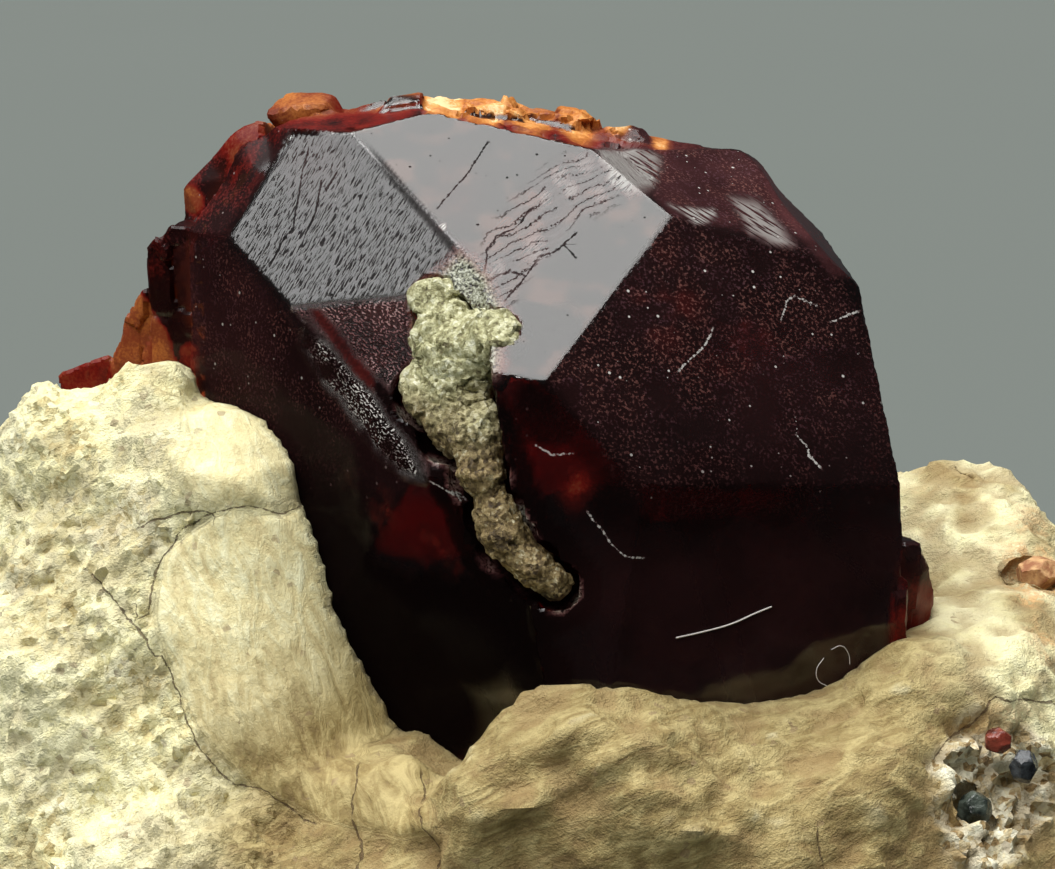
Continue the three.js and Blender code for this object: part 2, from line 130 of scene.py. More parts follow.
PALE_SCRATCHES = [
    [(4.2, 19.4), (4.5, 19.6), (4.8, 19.8), (4.9, 19.95)],
    [(7.0, 20.3), (7.1, 20.55), (7.4, 20.65), (7.8, 20.45)],
    [(8.55, 19.95), (8.8, 20.0), (9.0, 20.05)],
    [(7.35, 17.3), (7.5, 17.15), (7.5, 16.95), (7.7, 16.75)],
    [(0.4, 17.7), (0.6, 17.6), (0.9, 17.6)],
    [(1.7, 16.0), (2.0, 15.6), (2.2, 15.3), (2.5, 15.05), (2.85, 15.0)],
    [(-2.4, 16.5), (-2.1, 16.4), (-1.8, 16.2)],
]

# Soft patches on the display side: x, z, radius and strength.
# Painted glow: red patches that stand in for light passing through the crystal.
RED_GLOWS = [
    (-3.9, 15.4, 1.3, 0.85), (-2.6, 14.7, 1.1, 1.0), (-1.9, 14.1, 0.8, 0.8), (-4.6, 15.9, 0.9, 0.7),
    (0.5, 17.4, 0.8, 0.9), (1.3, 16.8, 0.9, 0.8), (-5.6, 19.6, 0.9, 0.6), (5.8, 19.6, 1.8, 0.55),
    (3.6, 20.9, 1.8, 0.50), (9.6, 16.2, 1.0, 0.6), (-8.2, 23.6, 1.4, 0.9), (-7.8, 20.2, 1.6, 0.25),
]
AMBER_PATCHES = [
    (-2.4, 25.3, 0.7, 0.68), (-1.2, 25.5, 0.9, 0.64), (0.2, 25.4, 1.0, 0.58),
    (1.6, 25.2, 1.0, 0.58), (2.6, 24.9, 0.6, 0.58), (3.9, 24.4, 0.45, 0.66),
    (-6.4, 25.2, 0.9, 0.12), (-7.4, 24.8, 0.7, 0.12), (-4.2, 25.4, 1.3, 0.16),
    (-9.75, 22.5, 0.5, 0.40), (-9.7, 18.2, 0.5, 0.34), (10.7, 11.8, 1.2, 0.20),
]
# Painted shade: patches where a black sheet without reflection covers the glass.
PAINTED_SHADE_PARTS = [
    (-8.2, 18.7, 1.3, 0.95), (-5.3, 15.8, 1.3, 0.90), (-3.0, 14.2, 2.6, 0.60),
    (0.6, 18.7, 1.3, 0.92), (1.8, 18.2, 1.2, 0.80), (2.6, 16.6, 1.4, 0.90), (4.6, 16.4, 1.6, 0.92),
    (6.6, 16.3, 1.5, 0.85), (0.8, 16.6, 1.8, 0.45), (-4.0, 12.0, 2.6, 1.0), (-2.0, 12.4, 2.4, 1.0),
    (-5.6, 13.4, 2.2, 1.0), (-6.8, 15.2, 1.6, 0.9), (-8.2, 17.0, 1.2, 0.9), (-2.9, 9.8, 2.2, 1.0),
    (-0.2, 13.2, 1.4, 0.95), (0.3, 11.8, 1.3, 0.95), (0.2, 14.6, 1.0, 0.8), (-0.3, 15.4, 0.6, 0.6),
    (4.2, 14.2, 3.4, 0.70), (8.0, 14.0, 2.8, 0.65), (3.0, 12.2, 3.2, 0.45), (7.6, 12.0, 2.6, 0.35),
]
BEHIND_MIRROR = [(-4.2, 25.6, 1.3, 1.0)]
# Places of dull film with painted sheen.
HAZE_AND_SHEEN_PATCHES = [(-5.9, 23.9, 1.6, 1.0), (-2.0, 23.4, 1.3, 1.0)]
SWELLINGS = [
    (-6.6, 25.0, 1.5, 0.16), (-8.2, 24.2, 1.2, 0.24), (6.9, 23.7, 1.4, 0.28),
]
# Painted highlights: pale spots beside the terrace steps, and one glint.
PALE_SPOTS = [
    (0.9, 23.8, 0.35, 0.16), (0.5, 23.3, 0.25, 0.15), (0.2, 22.2, 0.45, 0.13),
    (-0.8, 21.8, 0.30, 0.14), (2.0, 23.4, 0.30, 0.12), (1.2, 23.5, 0.30, 0.18),
    (1.6, 24.1, 0.40, 0.12), (-2.3, 22.7, 0.10, 0.9),
]

# ---------------------------------------------------------------- numbers for whole arrays of points


def smooth_step(low, high, values):
    """0 below low, 1 above high and an S-curve between; low may be the larger of the two."""
    t = np.clip((values - low) / (high - low), 0.0, 1.0)
    return t * t * (3.0 - 2.0 * t)


def scatter(cells, seed):
    """A repeatable number from 0 to 1 for each whole-number cell."""
    cell = cells.astype(np.int64).astype(np.uint32)
    mixed = cell[..., 0] * HASH_PRIMES[0] + cell[..., 1] * HASH_PRIMES[1]
    mixed += cell[..., 2] * HASH_PRIMES[2] + np.uint32(seed * int(HASH_PRIMES[3]) % 2**32)
    mixed = (mixed ^ (mixed >> np.uint32(15))) * HASH_PRIMES[2]
    mixed = (mixed ^ (mixed >> np.uint32(13))) * HASH_PRIMES[3]
    mixed ^= mixed >> np.uint32(16)
    return mixed.astype(float) / 2.0**32


def noise(points, size, seed, octaves=1):
    """Soft lumps about as wide as size, from -1 to 1, with finer ones added by each further octave."""
    total = np.zeros(len(points))
    share = 1.0
    whole = 0.0
    for octave in range(octaves):
        place = points / (size / 2**octave) + octave * OCTAVE_SHIFT
        corner = np.floor(place)
        t = place - corner
        t = t * t * t * (t * (t * 6.0 - 15.0) + 10.0)
        value = np.zeros(len(points))
        for x in (0, 1):
            for y in (0, 1):
                for z in (0, 1):
                    weight = np.abs(1 - x - t[:, 0]) * np.abs(1 - y - t[:, 1]) * np.abs(1 - z - t[:, 2])
                    value += weight * scatter(corner + (x, y, z), seed + octave)
        total += share * (2.0 * value - 1.0)
        whole += share
        share *= 0.5
    return total / whole


def ridges(points, size, seed, octaves):
    """Sharp crests about size apart, from -1 in the hollows to 1 on the crests."""
    total = np.zeros(len(points))
    whole = 0.0
    for octave in range(octaves):
        share = 0.5**octave
        total += share * (1.0 - 4.0 * np.abs(noise(points, size / 2**octave, seed + octave)))
        whole += share
    return total / whole


def wavering(points, amount, size, seed, ways=3):
    """The points moved to and fro by noise, in three ways or all in one, so that drawn edges waver."""
    moves = [noise(points, size, seed + way, 2) for way in range(ways)]
    return points + amount * np.stack(moves, axis=-1)


def crumbs(points, size, seed):
    """Angular crumbs packed together: the way from the middle of a crumb, how far its joint is, and
    a number from 0 to 1 for each crumb."""
    place = points / size
    corner = np.floor(place)
    nearest = np.full(len(points), FAR)
    second = np.full(len(points), FAR)
    number = np.zeros(len(points))
    offset = np.zeros((len(points), 3))
    for x in (-1, 0, 1):
        for y in (-1, 0, 1):
            for z in (-1, 0, 1):
                cell = corner + (x, y, z)
                middle = cell + np.stack([scatter(cell, seed + axis) for axis in range(3)], axis=-1)
                away = np.linalg.norm(place - middle, axis=1)
                closer = away < nearest
                second = np.where(closer, nearest, np.minimum(second, away))
                number = np.where(closer, scatter(cell, seed + 3), number)
                offset = np.where(closer[:, None], place - middle, offset)
                nearest = np.where(closer, away, nearest)
    return offset * size, (second - nearest) * size, number


def flakes(points, size, seed, slope):
    """Flat flakes of a size that tilt at random by up to slope, as on a broken surface."""
    offset, joint, number = crumbs(points, size, seed)
    tilt = np.stack([np.modf(number * factor)[0] for factor in (7.0, 13.0, 29.0)], axis=-1)
    return slope * np.sum(offset * (2.0 * tilt - 1.0), axis=1), joint, number


def facing(azimuth, elevation):
    """The unit vector that points azimuth degrees from -Y towards +X, and elevation degrees up."""
    turn = math.radians(azimuth)
    lift = math.radians(elevation)
    return np.array([math.sin(turn) * math.cos(lift), -math.cos(turn) * math.cos(lift), math.sin(lift)])


def face_axes(way, turn):
    """Across, along and out of a flat face that looks one way: along runs up its slope, turned by turn
    degrees."""
    out = facing(*way)
    level = np.cross((0.0, 0.0, 1.0), out)
    level /= np.linalg.norm(level)
    slope = np.cross(out, level)
    angle = math.radians(turn)
    across = math.cos(angle) * level + math.sin(angle) * slope
    along = -math.sin(angle) * level + math.cos(angle) * slope
    return np.array([across, along, out])


def off_segment(x, z, start, end):
    """How far places lie from a straight line that has two ends, in x and z."""
    (x0, z0), (x1, z1) = start, end
    length = math.hypot(x1 - x0, z1 - z0)
    along = ((x - x0) * (x1 - x0) + (z - z0) * (z1 - z0)) / length**2
    held = np.clip(along, 0.0, 1.0)
    return np.hypot(x - x0 - held * (x1 - x0), z - z0 - held * (z1 - z0))


def inside(points, outline, softness):
    """1 well inside an outline drawn in x and z, 0 well outside, and soft over softness at its edge."""
    x = points[:, 0]
    z = points[:, 2]
    within = np.zeros(len(points), bool)
    distance = np.full(len(points), FAR)
    for start, end in zip(outline, outline[1:] + outline[:1]):
        (x0, z0), (x1, z1) = start, end
        crosses = ((z0 > z) != (z1 > z)) & (x < (x1 - x0) * (z - z0) / ((z1 - z0) or 1e-9) + x0)
        within ^= crosses
        distance = np.minimum(distance, off_segment(x, z, start, end))
    return smooth_step(-softness / 2, softness / 2, np.where(within, distance, -distance))


def along_line(points, line):
    """The distance of each point to a line through space, and how far along it the nearest place is."""
    distance = np.full(len(points), FAR)
    share = np.zeros(len(points))
    for index, (start, end) in enumerate(zip(line[:-1], line[1:])):
        step = end - start
        t = np.clip((points - start) @ step / max(step @ step, 1e-12), 0.0, 1.0)
        away = np.linalg.norm(points - start - t[:, None] * step, axis=1)
        closer = away < distance
        share = np.where(closer, (index + t) / (len(line) - 1), share)
        distance = np.where(closer, away, distance)
    return distance, share


# ---------------------------------------------------------------- pieces


def choose(piece):
    """Makes a piece the only selected and active object."""
    bpy.ops.object.select_all(action="DESELECT")
    piece.select_set(True)
    bpy.context.view_layer.objects.active = piece


def apply_modifier(piece, kind, **settings):
    """Adds a modifier with these settings and applies it."""
    choose(piece)
    modifier = piece.modifiers.new(kind.title(), kind)
    for name, value in settings.items():
        setattr(modifier, name, value)
    bpy.ops.object.modifier_apply(modifier=modifier.name)


def lay_on_node(piece, node):
    """Lays the points of a piece on the solid of a node."""
    apply_modifier(piece, "SHRINKWRAP", wrap_method="NEAREST_SURFACEPOINT", target=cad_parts[node])


def even_copy(node, name, mesh_size):
    """A new piece: the solid of a node with its loose triangles merged, in even faces of a size."""
    piece = bpy.data.objects.new(name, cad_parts[node].data.copy())
    piece.data.name = name
    piece.data.materials.clear()
    bpy.context.scene.collection.objects.link(piece)
    choose(piece)
    bpy.ops.object.mode_set(mode="EDIT")
    bpy.ops.mesh.select_all(action="SELECT")
    bpy.ops.mesh.remove_doubles(threshold=MERGE_DISTANCE)
    bpy.ops.object.mode_set(mode="OBJECT")
    apply_modifier(piece, "REMESH", mode="VOXEL", voxel_size=mesh_size, adaptivity=0.0)
    lay_on_node(piece, node)
    return piece


def vectors_of(parts, name):
    """One vector of each point or face, as an array."""
    flat = np.empty(len(parts) * 3)
    parts.foreach_get(name, flat)
    return flat.reshape(-1, 3)


def points_of(piece):
    """The points of a piece, in mm."""
    return vectors_of(piece.data.vertices, "co") / MM


def normals_of(piece):
    """The way that the surface of a piece faces at each of its points."""
    return vectors_of(piece.data.vertices, "normal")


def move_points(piece, points):
    """Puts the points of a piece at new places, in mm."""
    piece.data.vertices.foreach_set("co", (points * MM).ravel())
    piece.data.update()


def tree_of(piece):
    """The faces of a piece, in mm, kept in a tree that finds the nearest place and the first hit."""
    points = [tuple(point) for point in points_of(piece)]
    return BVHTree.FromPolygons(points, [tuple(face.vertices) for face in piece.data.polygons])


def subdivide_faces(piece, chosen):
    """Cuts the chosen faces of a piece in four."""
    choose(piece)
    mesh = piece.data
    mesh.vertices.foreach_set("select", np.zeros(len(mesh.vertices), bool))
    mesh.edges.foreach_set("select", np.zeros(len(mesh.edges), bool))
    mesh.polygons.foreach_set("select", chosen)
    bpy.context.tool_settings.mesh_select_mode = (False, False, True)
    bpy.ops.object.mode_set(mode="EDIT")
    bpy.ops.mesh.subdivide(number_cuts=1)
    bpy.ops.object.mode_set(mode="OBJECT")


def evened(piece, values, rounds):
    """Values for each point, each round averaged with those of the points joined to it."""
    ends = np.empty(len(piece.data.edges) * 2, np.int64)
    piece.data.edges.foreach_get("vertices", ends)
    first, second = ends.reshape(-1, 2).T
    count = 1.0 + np.bincount(first, minlength=len(values)) + np.bincount(second, minlength=len(values))
    values = np.array(values, float)
    for _ in range(rounds):
        for column in values.reshape(len(values), -1).T:
            total = column + np.bincount(first, column[second], len(values))
            total += np.bincount(second, column[first], len(values))
            column[:] = total / count
    return values


def gap_to_node(points, name, reach):
    """The way from each point to the nearest place of a node's solid, and its length: nothing and FAR
    where the solid is beyond reach."""
    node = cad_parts[name]
    solid = points_of(node)
    tree = tree_of(node)
    near = np.all((points > solid.min(0) - reach) & (points < solid.max(0) + reach), axis=1)
    way = np.zeros((len(points), 3))
    gap = np.full(len(points), FAR)
    for index in np.flatnonzero(near):
        place, _, _, distance = tree.find_nearest(Vector(points[index]), reach)
        if place is not None:
            way[index] = np.array(place) - points[index]
            gap[index] = distance
    return way, gap


def turned_toward(outward, way, gap):
    """How squarely each point faces the nearest place of a node: 1 straight at it, 0 past it."""
    return np.sum(outward * way, axis=1) / np.maximum(gap, LEAST_GAP)


def store_mask(piece, name, values):
    """Keeps a number for each point of a piece, for its material to read."""
    attribute = piece.data.attributes.new(name, "FLOAT", "POINT")
    attribute.data.foreach_set("value", np.ascontiguousarray(values, np.float32))


def shade(piece, sharp_angle):
    """Smooth shading, apart from edges sharper than an angle in degrees."""
    choose(piece)
    bpy.ops.object.shade_smooth_by_angle(angle=math.radians(sharp_angle))


def install(piece, material, slot, *nodes):
    """Gives a finished piece its material and its body, and hides the nodes that it stands for; the slot
    is not used.
    """
    piece.data.materials.append(material)
    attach(piece, BODY)
    if nodes:
        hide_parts(*nodes)


class Relief:
    """What every point of a piece is pushed out along its normal, in mm, until it is applied."""

    def __init__(self, piece):
        self.piece = piece
        self.points = points_of(piece)
        self.normals = normals_of(piece)
        self.push = np.zeros(len(self.points))
        self.tree = tree_of(piece)

    def front_points(self, places):
        """The points of the display side that lie at these x and z."""
        found = []
        for x, z in places:
            hit = self.tree.ray_cast(Vector((x, -FAR, z)), Vector((0.0, 1.0, 0.0)))[0]
            if hit is not None:
                found.append(np.array(hit))
        return found

    def stroke(self, places, width, height, waver, seed):
        """Raises or sinks a wavering line across the display side, lower towards its ends."""
        moved = wavering(self.points, waver, 6 * width, seed)
        distance, share = along_line(moved, self.front_points(places))
        ends = np.minimum(smooth_step(0.0, 0.25, share), smooth_step(1.0, 0.75, share))
        self.push += height * smooth_step(width, 0.25 * width, distance) * (0.35 + 0.65 * ends)

    def patches(self, spots, edge=0.0):
        """The strongest of some soft round patches seen from the front: x, z, radius and strength."""
        strongest = np.zeros(len(self.points))
        for x, z, radius, strength in spots:
            away = np.hypot(self.points[:, 0] - x, self.points[:, 2] - z) / radius
            strongest = np.maximum(strongest, strength * smooth_step(1.0, edge, away))
        return strongest

    def drawn_lines(self, lines, reach, waver):
        """How far each point lies to one side of the nearest of some lines, seen from the front, and
        1 close to that line, falling to 0 at reach from it."""
        x = self.points[:, 0] + waver * noise(self.points, 0.7, 161, 3)
        z = self.points[:, 2] + waver * noise(self.points, 0.7, 164, 3)
        nearest = np.full(len(x), FAR)
        side = np.full(len(x), FAR)
        for line in lines:
            for start, end in zip(line[:-1], line[1:]):
                (x0, z0), (x1, z1) = start, end
                away = off_segment(x, z, start, end)
                across = ((x - x0) * (z1 - z0) - (z - z0) * (x1 - x0)) / math.hypot(x1 - x0, z1 - z0)
                closer = away < nearest
                side = np.where(closer, across, side)
                nearest = np.where(closer, away, nearest)
        front = smooth_step(0.1, -0.1, self.normals[:, 1])
        return side, smooth_step(reach, 0.4 * reach, nearest) * front

    def faces_near(self, way, tolerance):
        """1 where the surface looks about one way, falling to 0 at tolerance degrees from it."""
        turned = self.normals @ facing(*way)
        full = math.cos(math.radians(tolerance / 2))
        return smooth_step(math.cos(math.radians(tolerance)), full, turned)

    def apply(self, limit):
        """Moves the points of the piece, none further than a limit in mm."""
        push = np.clip(self.push, -limit, limit)
        move_points(self.piece, self.points + self.normals * push[:, None])


# ---------------------------------------------------------------- materials


class Wire:
    """The output of a node, which can be added, multiplied and so on as a number is."""

    def __init__(self, finish, socket):
        self.finish = finish
        self.socket = socket

    def sum(self, operation, *others):
        """The output of a Math node that works on this value and the others."""
        inputs = dict(enumerate((self, *others)))
        return self.finish.wire("ShaderNodeMath", 0, {"operation": operation}, inputs)

    def __add__(self, other):
        return self.sum("ADD", other)

    __radd__ = __add__

    def __mul__(self, other):
        return self.sum("MULTIPLY", other)

    __rmul__ = __mul__

    def __sub__(self, other):
        return self.sum("SUBTRACT", other)

    def __rsub__(self, other):
        return (self * -1.0) + other

    def __truediv__(self, other):
        return self.sum("DIVIDE", other)

    def least(self, other):
        """The smaller of two values."""
        return self.sum("MINIMUM", other)

    def most(self, other):
        """The larger of two values."""
        return self.sum("MAXIMUM", other)

    def size(self):
        """The value without its sign."""
        return self.sum("ABSOLUTE")

    def thin_lines(self, middle, width):
        """1 close to a middle value, falling to 0 at width from it."""
        return 1.0 - (self - middle).size().step(0.4 * width, width)

    def step(self, low, high):
        """0 at low, 1 at high and an S-curve between."""
        settings = {"interpolation_type": "SMOOTHSTEP"}
        inputs = {"Value": self, "From Min": low, "From Max": high}
        return self.finish.wire("ShaderNodeMapRange", "Result", settings, inputs)


class Finish:
    """A material that is being made, with the few patterns that the finishes share."""

    def __init__(self, name):
        self.material = bpy.data.materials.new(name)
        self.material.use_nodes = True
        self.tree = self.material.node_tree
        self.tree.nodes.clear()
        self.place = self.wire("ShaderNodeTexCoord", "Object")

    def node(self, kind, settings=None, inputs=None):
        """A node of a kind, with its settings made first and its sockets then set or joined."""
        node = self.tree.nodes.new(kind)
        for name, value in (settings or {}).items():
            if name == "stops":
                self.set_stops(node.color_ramp, value)
            else:
                setattr(node, name, value)
        for name, value in (inputs or {}).items():
            socket = node.inputs[name]
            if isinstance(value, Wire):
                self.tree.links.new(value.socket, socket)
            else:
                socket.default_value = value
        return node

    def wire(self, kind, output, settings=None, inputs=None):
        """One output of a new node."""
        return Wire(self, self.node(kind, settings, inputs).outputs[output])

    @staticmethod
    def set_stops(ramp, stops):
        """Gives a colour ramp its stops, each a position and a colour."""
        while len(ramp.elements) < len(stops):
            ramp.elements.new(1.0)
        for element, (position, colour) in zip(ramp.elements, stops):
            element.position = position
            element.color = (*colour, 1.0)

    def mask(self, name):
        """A number kept on the points of the piece."""
        return self.wire("ShaderNodeAttribute", "Fac", {"attribute_name": name})

    def frame_on(self, way, turn, sizes):
        """Object coordinates in units of sizes (mm), turned to lie across, along and out of a face."""
        turned = Matrix(face_axes(way, turn).tolist()).transposed().to_euler()
        inputs = {"Vector": self.place, "Rotation": turned, "Scale": [size * MM for size in sizes]}
        return self.wire("ShaderNodeMapping", "Vector", {"vector_type": "TEXTURE"}, inputs)

    def noise(self, size, detail=2.0, roughness=0.5, distortion=0.0, vector=None):
        """Noise with lumps of about size, in mm or in the units of another vector."""
        inputs = {"Vector": vector or self.place, "Scale": 1.0 / (size * (1.0 if vector else MM))}
        inputs.update(Detail=detail, Roughness=roughness, Distortion=distortion)
        return self.wire("ShaderNodeTexNoise", "Fac", None, inputs)

    def cells(self, size):
        """Cells of about size mm: the distance to the middle of each in cells, the place of the middle,
        and a random colour and number for each."""
        node = self.node("ShaderNodeTexVoronoi", None, {"Vector": self.place, "Scale": 1.0 / (size * MM)})
        names = ("Distance", "Position", "Color")
        distance, middle, colour = (Wire(self, node.outputs[name]) for name in names)
        number = self.wire("ShaderNodeSeparateColor", "Red", None, {"Color": colour})
        return distance, middle, colour, number

    def vector_math(self, operation, output, first, second):
        """A Vector Math node on two vectors: its output 0 is a vector, its output 1 a value."""
        return self.wire("ShaderNodeVectorMath", output, {"operation": operation}, {0: first, 1: second})

    def chips(self, size):
        """Flat chips of about size mm that tilt at random: a height from -0.5 to 0.5, and a number."""
        _, middle, colour, number = self.cells(size)
        way = self.vector_math("SUBTRACT", 0, self.place, middle)
        tilt = self.vector_math("SUBTRACT", 0, colour, (0.5, 0.5, 0.5))
        slope = self.vector_math("DOT_PRODUCT", 1, way, tilt)
        return slope * (1.0 / (size * MM)), number

    def mix_vectors(self, factor, first, second):
        """Two sets of coordinates mixed by a factor."""
        inputs = {0: factor, 4: first, 5: second}
        return self.wire("ShaderNodeMix", 1, {"data_type": "VECTOR"}, inputs)

    def blend(self, factor, first, second):
        """Two colours mixed by a factor."""
        inputs = {"Factor": factor, 6: self.opaque(first), 7: self.opaque(second)}
        return self.wire("ShaderNodeMix", 2, {"data_type": "RGBA"}, inputs)

    @staticmethod
    def opaque(colour):
        """A colour with its alpha added, or a wire as it is."""
        return colour if isinstance(colour, Wire) else (*colour[:3], 1.0)

    def ramp(self, value, stops):
        """The colour of a value between stops."""
        return self.wire("ShaderNodeValToRGB", "Color", {"stops": stops}, {"Fac": value})

    def bump(self, height, depth):
        """A normal that follows a height; depth is the full height in mm."""
        return self.wire("ShaderNodeBump", "Normal", None, {"Height": height, "Distance": depth * MM})

    def surface(self, **inputs):
        """A Principled surface; underscores in the names of the sockets stand for spaces."""
        named = {name.replace("_", " "): value for name, value in inputs.items()}
        named["Base Color"] = self.opaque(named["Base Color"])
        return self.wire("ShaderNodeBsdfPrincipled", "BSDF", None, named)

    def layered(self, factor, below, above):
        """One surface over another, by a factor."""
        return self.wire("ShaderNodeMixShader", "Shader", None, {"Fac": factor, 1: below, 2: above})

    def finished(self, surface, volume=None):
        """The material, with its surface and what fills it."""
        inputs = {"Surface": surface}
        if volume:
            inputs["Volume"] = volume
        self.node("ShaderNodeOutputMaterial", None, inputs)
        return self.material


def crystal_finish(settings):
    """Deep red-brown glass: clear inside, etched and powdery outside, orange where it is broken, with
    painted glow, painted shade, painted highlights and painted sheen.
    """
    finish = Finish("clinohumite")
    striated, mirror, red_face, stepped = map(finish.mask, ("striated", "mirror", "red_face", "stepped"))
    speckled, dusty, crust, veils = map(finish.mask, ("speckled", "dusty", "crust", "veils"))

    upright = finish.frame_on(STRIATED_WAY, GROWTH_TURN, (0.046, 0.32, 0.6))
    rippled = finish.frame_on(RED_WAY, -28, (0.090, 0.048, 0.5))
    slanted = finish.frame_on((30, 20), 36, (0.095, 1.10, 0.6))
    frame_mix = finish.mix_vectors(red_face.most(stepped), upright, rippled)
    growth = finish.noise(1.0, 1.0, 0.5, 0.25, finish.mix_vectors(speckled, frame_mix, slanted))
    etching = finish.noise(0.085, 2.0, 0.6)

    # Painted shade in the grooves of the striated face; the grooves also shape the bump.
    grooves = (growth - finish.mask("grooved") * 0.04).step(0.395, 0.340) * striated * 0.88
    # Painted shade along the steps of the terraces; the steps also shape the bump.
    contour = (finish.mask("levels") + etching * 0.7 + growth * 0.2).sum("FRACT").thin_lines(0.5, 0.08)
    contour = contour * finish.mask("terraces") * (etching * 0.6 + veils * 0.7).step(0.57, 0.66)
    drawn = (finish.mask("line_side").size() - etching * 0.10).step(-0.022, -0.036)
    # Painted highlights: light dashes on the ripples of the red face, and painted glints on the sparkling
    # band.
    dashes = growth.step(0.55, 0.64)
    ripple_highlights = dashes * red_face * (0.35 + veils.step(0.35, 0.65) * 0.6)
    sparkles = dashes * stepped * veils.step(0.30, 0.62)

    height = striated * growth * 0.4 - grooves * 0.3 - contour * 0.4 + (red_face * 0.5 + stepped) * growth
    height = height + etching * (0.06 + speckled * 0.22 + crust * 1.5 + stepped * 0.5)
    normal = finish.bump(height, 0.030)

    glass = finish.surface(
        Base_Color=(1.0, 0.94, 0.90),
        Roughness=0.08 + speckled * 0.07 + stepped * 0.10 + crust * 0.3 + red_face * 0.06,
        IOR=settings.ior,
        Transmission_Weight=1.0,
        Normal=normal,
    )
    # The colour of the broken parts, with the painted glow at its dark red end.
    fracture_and_glow_colour = finish.ramp(finish.mask("amber") + veils * 0.45 + etching * 0.40 - 0.42, [
        (0.00, (0.012, 0.001, 0.001)),
        (0.24, settings.glow_colour),
        (0.48, (0.220, 0.050, 0.018)),
        (0.70, (0.480, 0.165, 0.035)),
        (0.90, (0.760, 0.360, 0.110)),
        (1.10, (0.850, 0.620, 0.320)),
    ])
    fracture_and_glow = finish.surface(
        Base_Color=fracture_and_glow_colour,
        Roughness=0.42,
        Specular_IOR_Level=0.10,
        Normal=normal,
    )
    body = finish.layered(finish.mask("broken"), glass, fracture_and_glow)
    # Painted glow: a dark pink on part of the mirror face stands in for light from inside.
    painted_inner_glow = mirror * veils.step(0.46, 0.70)
    polished = finish.surface(
        Base_Color=finish.blend(painted_inner_glow, (0.006, 0.006, 0.006), (0.062, 0.030, 0.022)),
        Roughness=0.10 + etching * 0.08,
        IOR=settings.ior,
        Normal=normal,
    )
    body = finish.layered(striated.most(mirror) * 0.94, body, polished)

    # Dots: painted shade in pits on the mirror face, and painted glints where the specks lie.
    distance, _, _, number = finish.cells(0.27)
    reach = 0.08 + number.step(0.70, 1.0) * 0.12
    dots = 1.0 - (distance / reach).step(0.6, 1.0)
    # A black sheet without reflection: painted shade, and the dark cracks.
    dark = finish.surface(Base_Color=(0.004, 0.002, 0.002), Roughness=0.5, Specular_IOR_Level=0.0)
    # Painted shade in the grooves, along the terrace steps and in the pits, with the dark cracks.
    shade_and_cracks = grooves.most(contour).most(drawn * finish.mask("dark_line"))
    shade_and_cracks = shade_and_cracks.most(dots * mirror * number.step(0.50, 0.54))
    body = finish.layered(finish.mask("thick").most(shade_and_cracks * 0.92), body, dark)

    # Painted glint specks on the speckled faces.
    painted_glint_specks = etching.step(0.52, 0.66) * dusty * veils.step(0.2, 0.6)
    streaks = growth.step(0.36, 0.50)
    scratches = drawn * finish.mask("pale_line")
    # Painted glints and highlights, with the pale scratches.
    bright = (dots * dusty * number.step(0.3, 1.0) * 0.65).most(scratches * etching.step(0.30, 0.60) * 0.5)
    bright = bright.most(finish.mask("pale") * streaks).most(sparkles * 0.55)
    # Painted sheen: the pinkish tint of the specks and of the ripple highlights.
    painted_sheen_tint = finish.blend(veils.step(0.38, 0.58), (0.36, 0.18, 0.28), (0.56, 0.22, 0.18))
    painted_sheen_tint = finish.blend(red_face, painted_sheen_tint, (0.42, 0.29, 0.28))
    dust_and_sheen_colour = finish.blend(painted_glint_specks.most(ripple_highlights), settings.haze_and_sheen_colour, painted_sheen_tint)
    dust_and_sheen_colour = finish.blend((bright * 3.0).least(1.0), dust_and_sheen_colour, (0.78, 0.76, 0.72))
    crust_colour = finish.ramp(etching, [
        (0.36, (0.05, 0.05, 0.035)),
        (0.50, (0.30, 0.31, 0.22)),
        (0.64, (0.62, 0.64, 0.54)),
    ])
    dust_and_sheen_colour = finish.blend(crust, dust_and_sheen_colour, crust_colour)
    # A matte layer: the crust and pale scratches, with the film, and painted sheen, glints and highlights.
    dust_and_sheen = finish.surface(Base_Color=dust_and_sheen_colour, Roughness=0.65, Normal=normal)
    cover = finish.mask("haze") + painted_glint_specks * 0.16 + ripple_highlights * 0.62
    cover = cover.most(bright).most(crust * etching.step(0.33, 0.52) * 0.85).least(1.0)
    body = finish.layered(cover, body, dust_and_sheen)

    absorption = finish.wire("ShaderNodeVolumeAbsorption", "Volume", None, {
        "Color": finish.opaque(settings.body_colour),
        "Density": settings.density,
    })
    return finish.finished(body, absorption)


